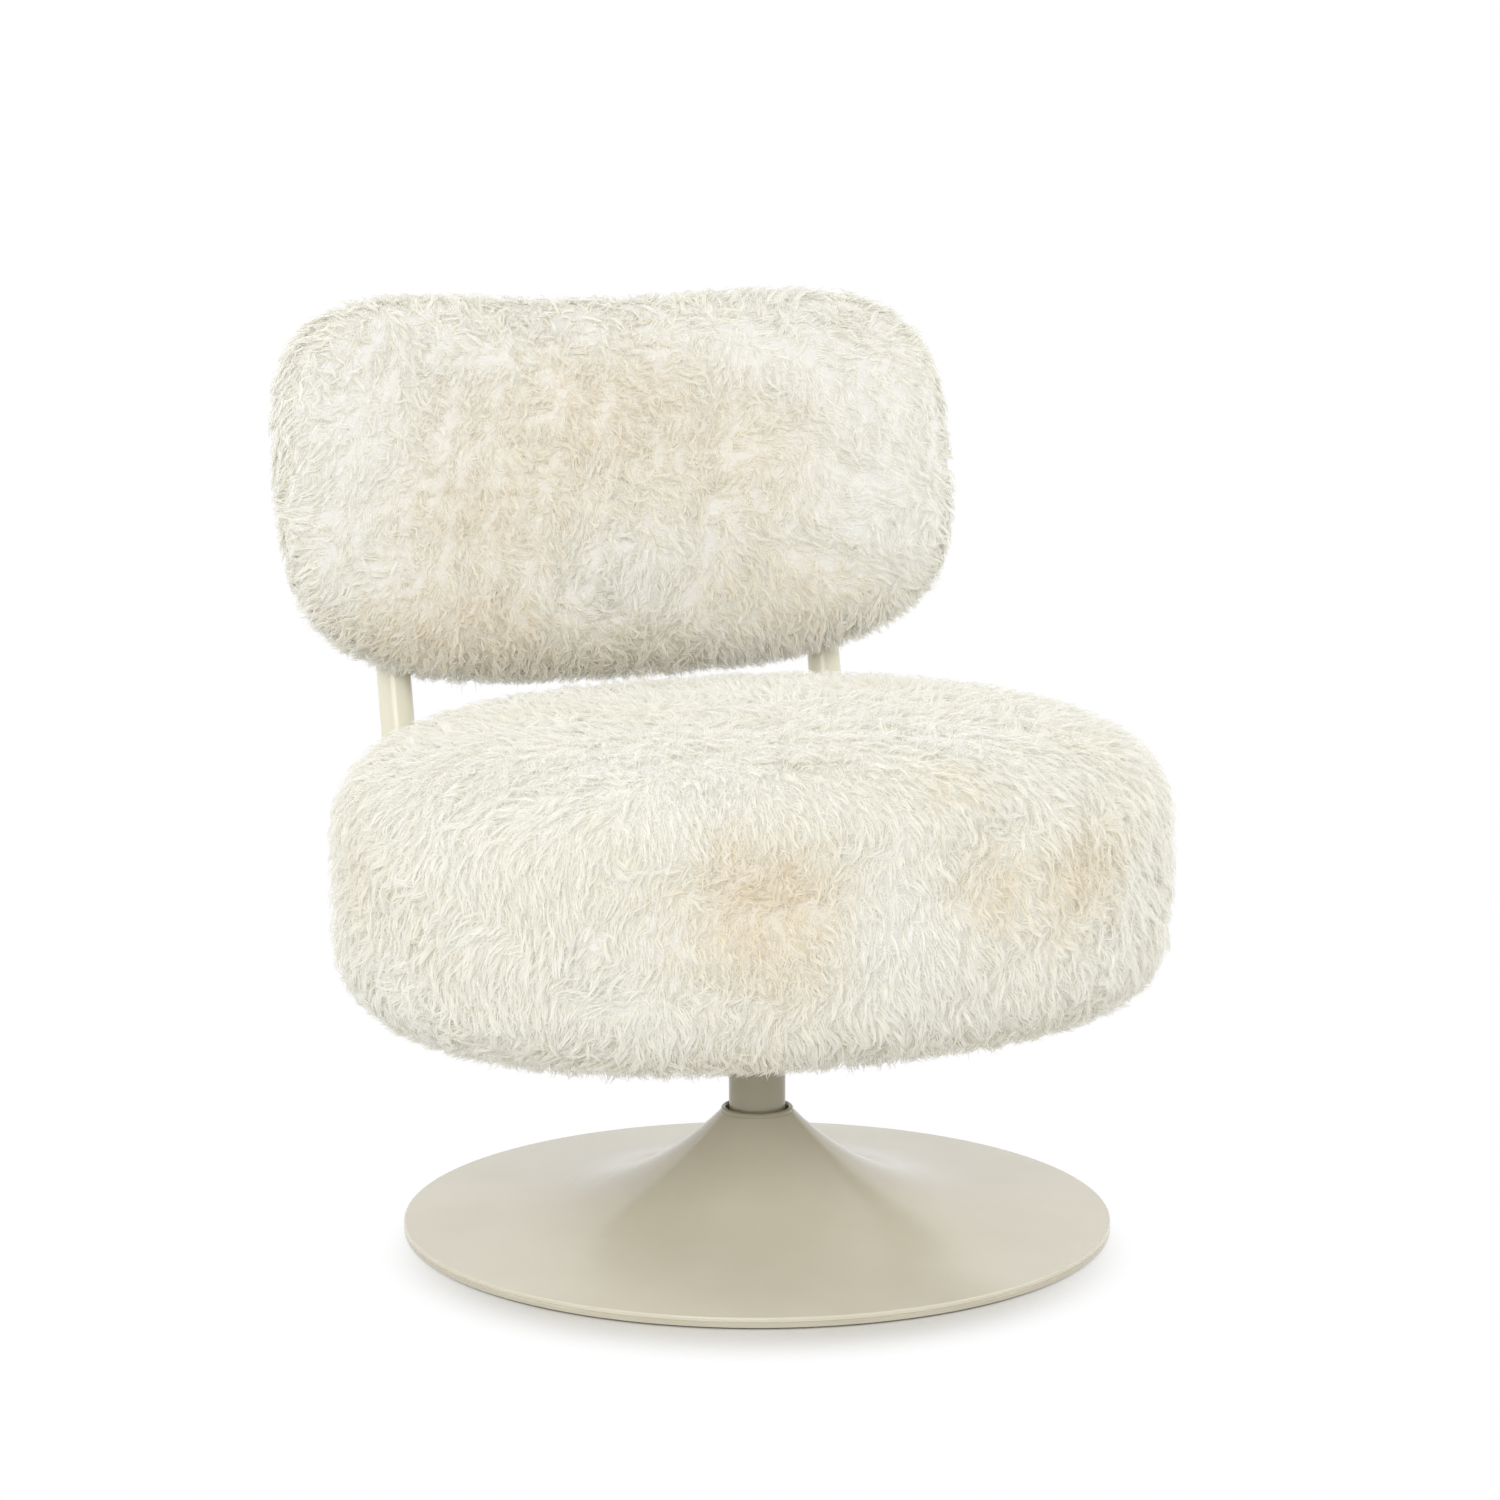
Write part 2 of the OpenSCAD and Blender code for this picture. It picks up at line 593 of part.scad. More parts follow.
// The uprights, each one tube: a rail under the seat, a bend and a leaning run
module tube_section(step) {
    difference() {
        circle(r = tube_r - step);
        circle(r = tube_r - tube_wall + step);
    }
}
module upright(side) {
    screw_hole_r = rivet_barrel_r + loose;
    color(paint_tube) difference() {
        translate([side * tube_x, rail_end_y, rail_z + bend_r])
            rotate([-90 - back_lean, 0, 0]) rotate([0, -90, 0]) {
                translate([bend_r, 0, 0]) rotate([90, 0, 0]) linear_extrude(tube_run) tube_section(0);
                rotate_extrude(angle = 90 - back_lean) translate([bend_r, 0]) tube_section(0);
                rotate([0, 0, 90 - back_lean]) translate([bend_r, -rail_lap, 0]) rotate([-90, 0, 0])
                    linear_extrude(rail_end_y - rail_start_y + rail_lap) tube_section(rail_step);
            }
        at_rail_bolts() translate([0, 0, rail_z - tube_r - cut]) cylinder(r = bolt_hole_r, h = tube_d + 2 * cut);
        at_back_screws() translate([0, 0, board_rear_y]) cylinder(r = screw_hole_r, h = tube_r);
    }
}
module upright_left() {
    upright(-1);
}
module upright_right() {
    upright(1);
}
module rail_bolts() {
    color(bright_steel) at_rail_bolts() bolt(rail_z - tube_r);
}
// A plug whose flange faces -Z and whose stem goes up into the tube
module plug() {
    translate([0, 0, -plug_flange_t]) cylinder(r = tube_r, h = plug_flange_t);
    translate([0, 0, -plug_flange_t / 2]) cylinder(r = tube_r - tube_wall - loose, h = plug_depth);
}
module tube_plugs() {
    color(black) for (side = [-1, 1]) {
        translate([side * tube_x, rail_start_y, rail_z]) rotate([-90, 0, 0]) plug();
        in_back() translate([side * tube_x, tube_set_back, tube_reach]) rotate([180, 0, 0]) plug();
    }
}

// The back
module back_board() {
    outline = [for (i = [0 : cushion_sides - 1]) let (w = 360 * i / cushion_sides)
        [back_board_w / 2 * spow(cos(w), 2 / back_power), back_board_h / 2 * spow(sin(w), 2 / back_power)]];
    color(ply) difference() {
        in_back() translate([0, board_rear_y, 0]) rotate([90, 0, 0]) linear_extrude(back_board_t) polygon(outline);
        at_back_screws() translate([0, 0, board_front_y - cut])
            cylinder(r = screw_washer_r + bolt_room, h = screw_recess + cut);
        at_back_screws() translate([0, 0, board_front_y])
            cylinder(r = back_screw_d / 2 + bolt_room, h = back_board_t + cut);
    }
}
module back_core() {
    inset = hide_t + slack;
    ring_form(back_point(0, -90, inset), [for (v = core_angles) back_ring(v, inset, 1)],
              back_point(0, 90, inset), filling = true);
}
module back_foam_front() {
    color(foam) in_back() intersection() {
        back_core();
        translate([-back_w, board_front_y - back_w, -back_w]) cube([2 * back_w, back_w, 2 * back_w]);
    }
}
module back_foam_rear() {
    channel_top = tube_reach + plug_flange_t + slack;
    channel_r = tube_r + slack;
    color(foam) in_back() difference() {
        back_core();
        translate([-back_w, board_front_y + slack - back_w, -back_w]) cube([2 * back_w, back_w, 2 * back_w]);
        translate([0, board_rear_y + slack, 0]) rotate([90, 0, 0]) linear_extrude(back_board_t + slack)
            polygon([for (i = [0 : cushion_sides - 1]) let (w = 360 * i / cushion_sides)
                [(back_board_w / 2 + slack) * spow(cos(w), 2 / back_power),
                 (back_board_h / 2 + slack) * spow(sin(w), 2 / back_power)]]);
        for (side = [-1, 1]) {
            translate([side * tube_x, tube_set_back, channel_top - back_h]) cylinder(r = channel_r, h = back_h);
            translate([side * tube_x - channel_r, board_rear_y, channel_top - back_h])
                cube([2 * channel_r, tube_set_back - board_rear_y, back_h]);
        }
    }
}
// One half of the back's cover; turn is 1 for the front half and -1 for the rear half
module back_shell(turn) {
    ring_form(
        back_point(0, -90 * turn, 0),
        concat([for (v = front_angles) back_ring(v * turn, 0, turn)],
               [for (i = [len(back_inner_angles) - 1 : -1 : 0]) back_ring(back_inner_angles[i] * turn, hide_t, turn)]),
        back_point(0, -90 * turn, hide_t));
}
module back_cover_front() {
    color(fleece) in_back() back_shell(1);
}
module back_cover_rear() {
    color(fleece) in_back() difference() {
        back_shell(-1);
        for (side = [-1, 1]) translate([side * tube_x, tube_set_back, -back_h])
            cylinder(r = tube_r + slack, h = back_h - back_screw_pitch / 2);
    }
}
module back_screws() {
    head_z = board_front_y + screw_recess - screw_washer_t - screw_head_h;
    color(bright_steel) at_back_screws() {
        translate([0, 0, head_z]) cylinder(r = back_screw_head_d / 2, h = screw_head_h);
        translate([0, 0, head_z + screw_head_h / 2])
            cylinder(r = back_screw_d / 2, h = board_rear_y + rivet_l - head_z - screw_head_h / 2);
    }
}
module back_washers() {
    color(bright_steel) at_back_screws() translate([0, 0, board_front_y + screw_recess - screw_washer_t])
        ring(screw_washer_r, back_screw_d / 2 + bolt_room, screw_washer_t);
}
module rivet_nuts() {
    flange_z = tube_set_back - tube_r - rivet_flange_t;
    color(bright_steel) at_back_screws() difference() {
        union() {
            translate([0, 0, flange_z]) cylinder(r = rivet_flange_r, h = rivet_flange_t);
            translate([0, 0, flange_z + rivet_flange_t / 2]) cylinder(r = rivet_barrel_r, h = rivet_l);
        }
        translate([0, 0, flange_z - cut]) cylinder(r = back_screw_d / 2 + loose, h = rivet_l + 3 * cut);
    }
}

floor_felt();
base_plate();
base_cover();
support_sleeve();
collar_ring();
pivot_post();
foot_screws();
bearing_lower_race();
retaining_washer();
retaining_ring();
ball_cage();
bearing_balls();
bearing_upper_race();
lower_bush();
upper_bush();
column_tube();
column_flange();
flange_bolts();
flange_washers();
seat_tee_nuts();
seat_board();
dust_cloth();
seat_foam();
seat_cover();
upright_left();
upright_right();
rail_bolts();
tube_plugs();
back_board();
back_foam_front();
back_foam_rear();
back_cover_front();
back_cover_rear();
back_screws();
back_washers();
rivet_nuts();
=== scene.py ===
import math

import bpy
import numpy as np
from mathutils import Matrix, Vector, kdtree


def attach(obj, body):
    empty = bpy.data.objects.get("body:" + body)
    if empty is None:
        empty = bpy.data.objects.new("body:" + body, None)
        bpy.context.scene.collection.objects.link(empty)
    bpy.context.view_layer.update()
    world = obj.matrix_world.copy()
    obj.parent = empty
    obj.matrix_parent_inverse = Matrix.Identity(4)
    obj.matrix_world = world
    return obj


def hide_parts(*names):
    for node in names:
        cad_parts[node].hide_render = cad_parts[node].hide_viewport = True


bl_info = {
    "name": "Swivel lounge chair looks",
    "version": (1, 0, 0),
    "blender": (4, 5, 0),
    "location": "View3D > Sidebar > Chair",
    "description": "Paint, sheepskin cushions, hidden fittings and studio of the swivel lounge chair",
    "category": "Object",
}

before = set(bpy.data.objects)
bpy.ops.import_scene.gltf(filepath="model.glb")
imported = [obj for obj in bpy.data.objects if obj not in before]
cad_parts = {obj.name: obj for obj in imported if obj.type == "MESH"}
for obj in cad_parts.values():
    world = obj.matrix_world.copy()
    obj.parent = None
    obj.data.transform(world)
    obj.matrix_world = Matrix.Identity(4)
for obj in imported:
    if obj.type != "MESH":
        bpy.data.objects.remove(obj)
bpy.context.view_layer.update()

MM = 0.001
# A wave texture repeats every 0.314 of its units, so with this divisor it repeats every two sizes.
BANDS = 6.28
SEAT_SEED = 7
BACK_SEED = 57

# Where the photograph was taken from.
CAMERA_PLACE = (-1.3761, -2.8890, 0.928)
CAMERA_TURN = (math.radians(80.762), 0.0, math.radians(-25.361))
CAMERA_LENS_MM = 93.04
CAMERA_SENSOR_MM = 36.0
# What the lamps point at, half the floor's width, the middle of the painted shade circle that the floor
# shows, set off towards the front, and how wide its soft edge is.
LAMPS_AIM = (0.0, 0.0, 0.3)
FLOOR_HALF = 14.0
SHADE_MIDDLE = (-0.030, -0.063, 0.0)
SHADE_EDGE = 0.08

# The seat cushion, as its solid has it: half sizes and heights in metres.
SEAT_HALF_WIDTH = 0.3555
SEAT_FRONT = 0.276
SEAT_REAR = 0.287
SEAT_MID_Z = 0.318
SEAT_BOTTOM_Z = 0.190
SEAT_UP = 0.133
SEAT_DOWN = 0.13763
SEAT_PLAN_POWER = 2.28
SEAT_UP_POWER = 3.43
SEAT_DOWN_POWER = 5.1
# Its pile: the level below which it hangs straight and over how much height that sets in,
# its lowest tips and how much those vary, and how far in the underside is bare.
SEAT_HANG_Z = 0.232
SEAT_HANG_BLEND = 0.03
SEAT_TIPS_Z = 0.1835
SEAT_TIPS_SPREAD = 0.010
SEAT_BARE_SHARE = 0.73

# The back cushion, in its own leaning frame.
BACK_HALF_WIDTH = 0.3225
BACK_HALF_HEIGHT = 0.1755
BACK_FRONT = 0.057
BACK_REAR = 0.066
BACK_WRAP = 0.056
BACK_DIP = 0.038
BACK_DIP_LEVEL = 0.4
BACK_OUTLINE_POWER = 3.26
BACK_EDGE_POWER = 2.74
BACK_LEAN = math.radians(11)
BACK_Y = 0.3284
BACK_Z = 0.6085
# How far in front of its middle the warm pile has faded, and over what depth.
BACK_WARM_END = 0.010
BACK_WARM_BLEND = 0.03

# The cushions' pads: how far they stay inside their form, how far the cloth may swell, and the remesh.
SEAT_PAD_INSET = 0.0042
SEAT_PAD_SWELL = 0.0012
BACK_PAD_INSET = 0.0026
BACK_PAD_SWELL = 0.0008
PAD_VOXEL = 0.006
CLOTH_FRAMES = 20

# The pile: points along a ribbon, pieces for each cushion, the distances over which it turns and its
# tone changes, a ribbon's width on its map, and how hard its hanging parts are drawn down.
RIBBON_STEPS = 5
WOOL_PIECES = 8
SWEEP = 0.075
CURL = 0.022
TONE_CLOUD = 0.13
TONE_WIDTH = 0.004
HANG_PULL = 0.45
# The undercoat: its share of a strand's path, its loose lie as a share of the length, and its lower rise.
SHORT_PATH = 0.2
SHORT_LOOSE = 0.4
SHORT_SINK = 0.35
# A lock's tone on its map: of plain pile, and what full warmth adds.
TONE_PLAIN = 0.30
TONE_WARM = 0.50


def linear(colour):
    """An sRGB hex colour as the linear values that Blender's sockets take."""
    parts = [int(colour[i : i + 2], 16) / 255 for i in (1, 3, 5)]
    return tuple(c / 12.92 if c <= 0.04045 else ((c + 0.055) / 1.055) ** 2.4 for c in parts)


def paint(colour):
    """An sRGB hex colour as a four-value socket colour."""
    return (*linear(colour), 1.0)


def per_mm(size):
    """The texture scale at which one cell of a pattern is size millimetres wide."""
    return 1.0 / (size * MM)


def sized(place, size, bands=1.0, **more):
    """A texture's inputs: the object's own place, and the scale at which one cell is size millimetres wide."""
    return {"Vector": (place, "Object"), "Scale": per_mm(size) / bands, **more}


def add(tree, kind, inputs=None, **settings):
    """Adds a node. Settings are its own properties; inputs are socket values, or (node, output) links."""
    node = tree.nodes.new(kind)
    for name, value in settings.items():
        setattr(node, name, value)
    for socket, value in (inputs or {}).items():
        if isinstance(value, tuple) and isinstance(value[0], bpy.types.Node):
            tree.links.new(value[0].outputs[value[1]], node.inputs[socket])
        else:
            node.inputs[socket].default_value = value
    return node


def stops(node, *pairs):
    """Sets a colour ramp's stops from pairs of a place and a colour, in hex or linear."""
    elements = node.color_ramp.elements
    while len(elements) < len(pairs):
        elements.new(0.5)
    for element, (place, colour) in zip(elements, pairs):
        element.position = place
        element.color = paint(colour) if isinstance(colour, str) else (*colour, 1.0)
    return node


def emptied(holder):
    """The emptied node tree of a material or a world."""
    holder.use_nodes = True
    holder.node_tree.nodes.clear()
    return holder.node_tree


def empty_material(name, **values):
    """A material, its tree and its Principled surface, whose sockets take the values (_ stands for a space)."""
    material = bpy.data.materials.new(name)
    tree = emptied(material)
    surface = add(tree, "ShaderNodeBsdfPrincipled", {key.replace("_", " "): values[key] for key in values})
    add(tree, "ShaderNodeOutputMaterial", {"Surface": (surface, "BSDF")})
    return material, tree, surface


def plug(surface, socket, node, output):
    """Links a node's output to a socket of the surface."""
    surface.id_data.links.new(node.outputs[output], surface.inputs[socket])


def patterned(surface, tints, relief, strength, depth, *pairs):
    """Colours a surface along one pattern and gives it a relief, depth millimetres deep, along another.

    Both are (node, output) pairs; the colours are (place, colour) pairs.
    """
    tree = surface.id_data
    tint = stops(add(tree, "ShaderNodeValToRGB", {"Fac": tints}), *pairs)
    bump = add(tree, "ShaderNodeBump", {"Height": relief, "Strength": strength, "Distance": depth * MM})
    plug(surface, "Base Color", tint, "Color")
    plug(surface, "Normal", bump, "Normal")


def seen(tree):
    """A node that is 1 for the rays that show the studio itself: camera, glossy and transmission rays."""
    rays = add(tree, "ShaderNodeLightPath")
    sees = add(tree, "ShaderNodeMath", {0: (rays, "Is Camera Ray"), 1: (rays, "Is Glossy Ray")}, operation="MAXIMUM")
    return add(tree, "ShaderNodeMath", {0: (sees, "Value"), 1: (rays, "Is Transmission Ray")}, operation="MAXIMUM")


def powder_coat(name, shade, light, peel):
    """Polyester powder coat, baked satin.

    The eye gets an even, slightly soft gloss, a faint orange peel and hardly any mottling.
    """
    material, tree, surface = empty_material(name, IOR=1.5)
    place = add(tree, "ShaderNodeTexCoord")
    # film thickness wanders over about 90 mm
    cloud = add(tree, "ShaderNodeTexNoise", sized(place, 90, Detail=2.0))
    # orange peel is about 1.5 mm from dimple to dimple
    peel_cells = add(tree, "ShaderNodeTexNoise", sized(place, 1.5, Detail=1.0))
    patterned(surface, (cloud, "Fac"), (peel_cells, "Fac"), peel, 0.02, (0.35, shade), (0.65, light))
    # handling leaves slightly duller areas about 40 mm across
    smudge = add(tree, "ShaderNodeTexNoise", sized(place, 40, Detail=3.0))
    rough = add(
        tree, "ShaderNodeMapRange",
        {"Value": (smudge, "Fac"), "From Min": 0.3, "From Max": 0.7, "To Min": 0.12, "To Max": 0.16},
    )
    plug(surface, "Roughness", rough, "Result")
    return material


def turned_metal(name, shade, light, roughness, line_mm):
    """Turned or ground metal: the eye gets a bright surface with fine tool lines round the axis."""
    material, tree, surface = empty_material(name, Metallic=1.0)
    place = add(tree, "ShaderNodeTexCoord")
    # tool lines are line_mm wide, one light and one dark; drawn as coarse as they need to show
    turns = sized(place, line_mm, BANDS, Distortion=0.6, Detail=1.0)
    lines = add(tree, "ShaderNodeTexWave", turns, bands_direction="Z")
    # stains and oil, about 12 mm across
    stain = add(tree, "ShaderNodeTexNoise", sized(place, 12, Detail=4.0))
    patterned(surface, (stain, "Fac"), (lines, "Fac"), 0.15, 0.02, (0.3, shade), (0.7, light))
    rough = add(
        tree, "ShaderNodeMapRange",
        {"Value": (stain, "Fac"), "To Min": roughness * 0.8, "To Max": roughness * 1.25},
    )
    plug(surface, "Roughness", rough, "Result")
    return material


def zinc_plating():
    """Bright zinc electroplate on steel fasteners: a cool, lightly clouded metal with small crystal patches."""
    material, tree, surface = empty_material("zinc_electroplate", Metallic=1.0)
    place = add(tree, "ShaderNodeTexCoord")
    # crystal patches about 2.5 mm across
    spangle = add(tree, "ShaderNodeTexVoronoi", sized(place, 2.5))
    tint = stops(add(tree, "ShaderNodeValToRGB", {"Fac": (spangle, "Distance")}), (0.0, "#c3c7cc"), (0.8, "#d9dbdc"))
    plug(surface, "Base Color", tint, "Color")
    rough = add(tree, "ShaderNodeMapRange", {"Value": (spangle, "Distance"), "To Min": 0.26, "To Max": 0.42})
    plug(surface, "Roughness", rough, "Result")
    return material


def sintered_bronze():
    """Oil-filled sintered bronze: a dull golden metal full of fine pores."""
    material, tree, surface = empty_material("sintered_bronze", Metallic=1.0, Roughness=0.45)
    place = add(tree, "ShaderNodeTexCoord")
    # pores about 0.4 mm apart, coarser than real ones so that they show
    pores = add(tree, "ShaderNodeTexVoronoi", sized(place, 0.4))
    patterned(surface, (pores, "Distance"), (pores, "Distance"), 0.3, 0.05, (0.1, "#6d5230"), (0.4, "#b08a52"))
    return material


def moulded_acetal():
    """Injection-moulded black acetal: a near-black, slightly waxy plastic with a fine spark-eroded grain."""
    material, tree, surface = empty_material("moulded_acetal", Roughness=0.42, IOR=1.48)
    place = add(tree, "ShaderNodeTexCoord")
    # mould grain about 0.5 mm
    grain = add(tree, "ShaderNodeTexNoise", sized(place, 0.5, Detail=2.0))
    patterned(surface, (grain, "Fac"), (grain, "Fac"), 0.2, 0.03, (0.3, "#161617"), (0.7, "#232324"))
    return material


def wool_felt():
    """Pressed wool felt: matt grey, with matted fibres and a soft edge light."""
    material, tree, surface = empty_material("pressed_wool_felt", Roughness=0.95, Sheen_Weight=0.3)
    place = add(tree, "ShaderNodeTexCoord")
    # matted fibre bundles about 1.2 mm across
    fibre = add(tree, "ShaderNodeTexNoise", sized(place, 1.2, Detail=6.0, Roughness=0.7, Distortion=1.5))
    patterned(surface, (fibre, "Fac"), (fibre, "Fac"), 0.6, 0.3, (0.3, "#57534d"), (0.7, "#8c877f"))
    return material


def birch_plywood(name, lean):
    """Sanded birch plywood: pale long-grained faces, and edges that show light and dark plies of 2.8 mm."""
    material, tree, surface = empty_material(name, Roughness=0.6)
    place = add(tree, "ShaderNodeTexCoord")
    board = add(tree, "ShaderNodeMapping", {"Vector": (place, "Object"), "Rotation": (lean, 0.0, 0.0)})
    # plies are 2.8 mm thick, one light and one dark; twice as thick as real ones so that they show
    layers = {"Vector": (board, "Vector"), "Scale": per_mm(2.8) / BANDS, "Distortion": 0.3}
    plies = add(tree, "ShaderNodeTexWave", layers, bands_direction="Z")
    stripes = stops(add(tree, "ShaderNodeValToRGB", {"Fac": (plies, "Fac")}), (0.35, "#a07d53"), (0.65, "#d8bd8f"))
    # grain runs along the board's width: 2 mm wide and about 70 mm long
    long_grain = add(tree, "ShaderNodeMapping", {"Vector": (board, "Vector"), "Scale": (14.0, 500.0, 500.0)})
    grain = add(tree, "ShaderNodeTexNoise", {"Vector": (long_grain, "Vector"), "Scale": 1.0, "Detail": 5.0})
    face = stops(add(tree, "ShaderNodeValToRGB", {"Fac": (grain, "Fac")}), (0.3, "#cdae7f"), (0.7, "#e6d0a6"))
    side = add(tree, "ShaderNodeNewGeometry")
    turned = add(tree, "ShaderNodeMapping", {"Vector": (side, "True Normal"), "Rotation": (lean, 0.0, 0.0)})
    upright = add(tree, "ShaderNodeSeparateXYZ", {"Vector": (turned, "Vector")})
    facing = add(tree, "ShaderNodeMath", {0: (upright, "Z")}, operation="ABSOLUTE")
    is_face = add(tree, "ShaderNodeMath", {0: (facing, "Value"), 1: 0.7}, operation="GREATER_THAN")
    both = add(
        tree, "ShaderNodeMix", {0: (is_face, "Value"), 6: (stripes, "Color"), 7: (face, "Color")}, data_type="RGBA"
    )
    plug(surface, "Base Color", both, 2)
    bump = add(tree, "ShaderNodeBump", {"Height": (grain, "Fac"), "Strength": 0.15, "Distance": 0.1 * MM})
    plug(surface, "Normal", bump, "Normal")
    return material


def polyurethane_foam():
    """Open-cell polyurethane foam: matt pale yellow with small dark cells."""
    material, tree, surface = empty_material("polyurethane_foam", Roughness=0.95)
    place = add(tree, "ShaderNodeTexCoord")
    # cells about 1 mm across
    cells = add(tree, "ShaderNodeTexVoronoi", sized(place, 1.0))
    patterned(surface, (cells, "Distance"), (cells, "Distance"), 0.5, 0.3, (0.1, "#a89c76"), (0.5, "#dcd2ae"))
    return material


def calico():
    """Unbleached cotton calico under the seat: matt, pale, a plain weave with a few slubs."""
    material, tree, surface = empty_material("unbleached_calico", Roughness=0.9)
    place = add(tree, "ShaderNodeTexCoord")
    # threads are 1.2 mm wide with gaps as wide, much coarser than real calico so that the weave shows
    thread = sized(place, 1.2, BANDS, Distortion=0.4)
    warp, weft = (add(tree, "ShaderNodeTexWave", thread, bands_direction=way) for way in "XY")
    weave = add(tree, "ShaderNodeMath", {0: (warp, "Fac"), 1: (weft, "Fac")}, operation="MULTIPLY")
    # slubs and creases about 25 mm long
    slub = add(tree, "ShaderNodeTexNoise", sized(place, 25, Detail=5.0))
    mixed = add(tree, "ShaderNodeMath", {0: (weave, "Value"), 1: (slub, "Fac")}, operation="ADD")
    patterned(surface, (mixed, "Value"), (weave, "Value"), 0.4, 0.15, (0.3, "#d8d2c2"), (0.95, "#ece8dc"))
    return material


def sheepskin_hide(cream, warm):
    """Tanned sheepskin under its pile.

    Matt, the colour of the wool's roots darkened as painted shade of the pile over it, warmer where the pile is, and
    matted at the scale of the locks.
    """
    material, tree, surface = empty_material("tanned_sheepskin_shade_darkened", Roughness=0.9)
    place = add(tree, "ShaderNodeTexCoord")
    # wool roots mat together about every 5 mm
    mat = add(tree, "ShaderNodeTexNoise", sized(place, 5, Detail=4.0))
    patch = add(tree, "ShaderNodeAttribute", attribute_name="warmth")
    root = add(tree, "ShaderNodeMix", {0: (patch, "Fac"), 6: (*cream, 1.0), 7: (*warm, 1.0)}, data_type="RGBA")
    # painted shade: the roots' colour is darkened to 77 and 86 per cent, for the shade of the pile over the hide
    shade = add(tree, "ShaderNodeHueSaturation", {"Color": (root, 2), "Value": 0.77})
    light = add(tree, "ShaderNodeHueSaturation", {"Color": (root, 2), "Value": 0.86})
    both = add(tree, "ShaderNodeMix", {0: (mat, "Fac"), 6: (shade, "Color"), 7: (light, "Color")}, data_type="RGBA")
    plug(surface, "Base Color", both, 2)
    bump = add(tree, "ShaderNodeBump", {"Height": (mat, "Fac"), "Strength": 0.6, "Distance": 1.5 * MM})
    plug(surface, "Normal", bump, "Normal")
    return material


def sheepskin_wool(settings):
    """Washed long sheepskin wool: matt wavy locks, light at the tips, and slightly warmer and darker towards the skin
    as painted shade of the pile's depth.

    Each ribbon's place on its map holds its tone across and its length along.
    """
    material, tree, surface = empty_material(
        "sheepskin_wool", Roughness=0.7, Specular_IOR_Level=0.25, Sheen_Weight=0.15, Sheen_Roughness=0.5
    )
    lock = add(tree, "ShaderNodeUVMap", uv_map="OFBake")
    parts = add(tree, "ShaderNodeSeparateXYZ", {"Vector": (lock, "UV")})
    tone = stops(
        add(tree, "ShaderNodeValToRGB", {"Fac": (parts, "X")}),
        (0.05, settings.light), (0.45, settings.cream), (0.95, settings.warm),
    )
    # painted shade of the pile's depth: near the skin the tone is multiplied by the root colour, fading out along the
    # ribbon
    depth = add(
        tree, "ShaderNodeMapRange",
        {"Value": (parts, "Y"), "From Min": 0.1, "From Max": 0.75, "To Min": 0.0, "To Max": 1.0},
        interpolation_type="SMOOTHSTEP",
    )
    shade = add(
        tree, "ShaderNodeMix", {0: (depth, "Result"), 6: (*settings.root, 1.0), 7: (1.0, 1.0, 1.0, 1.0)},
        data_type="RGBA",
    )
    root = add(
        tree, "ShaderNodeMix", {0: 1.0, 6: (tone, "Color"), 7: (shade, 2)}, data_type="RGBA", blend_type="MULTIPLY"
    )
    plug(surface, "Base Color", root, 2)
    # light passes through the locks, so that the hollows between them stay pale
    through = add(tree, "ShaderNodeBsdfTranslucent", {"Color": (root, 2)})
    thin = add(tree, "ShaderNodeMixShader", {0: settings.thin, 1: (surface, "BSDF"), 2: (through, "BSDF")})
    end = next(n for n in tree.nodes if n.bl_idname == "ShaderNodeOutputMaterial")
    tree.links.new(thin.outputs["Shader"], end.inputs["Surface"])
    return material


def spow(x, power):
    """A power that keeps the sign."""
    return np.sign(x) * np.abs(x) ** power


def swirl(points, wavelength, seed, count=10):
    """A smooth random vector at each point, from seeded waves of about that length in metres."""
    random = np.random.RandomState(seed)
    out = np.zeros_like(points)
    for _ in range(count):
        way = random.normal(size=3)
        way *= 2 * math.pi / (wavelength * random.uniform(0.7, 1.5)) / np.linalg.norm(way)
        out += np.sin(points @ way + random.uniform(0, 2 * math.pi))[:, None] * random.normal(size=3)
    return out / math.sqrt(count / 2)


def unit(v):
    """Vectors of length one."""
    return v / np.maximum(np.linalg.norm(v, axis=-1, keepdims=True), 1e-12)


def warm_spots(points, *spots):
    """The warmest of some soft spots at each point. A spot is its place, its reach each way and its warmth."""
    warm = np.zeros(len(points))
    for place, reach, most in spots:
        far = (((points - np.array(place)) / np.array(reach)) ** 2).sum(1)
        warm = np.maximum(warm, most * np.exp(-(far**1.5)))
    return warm


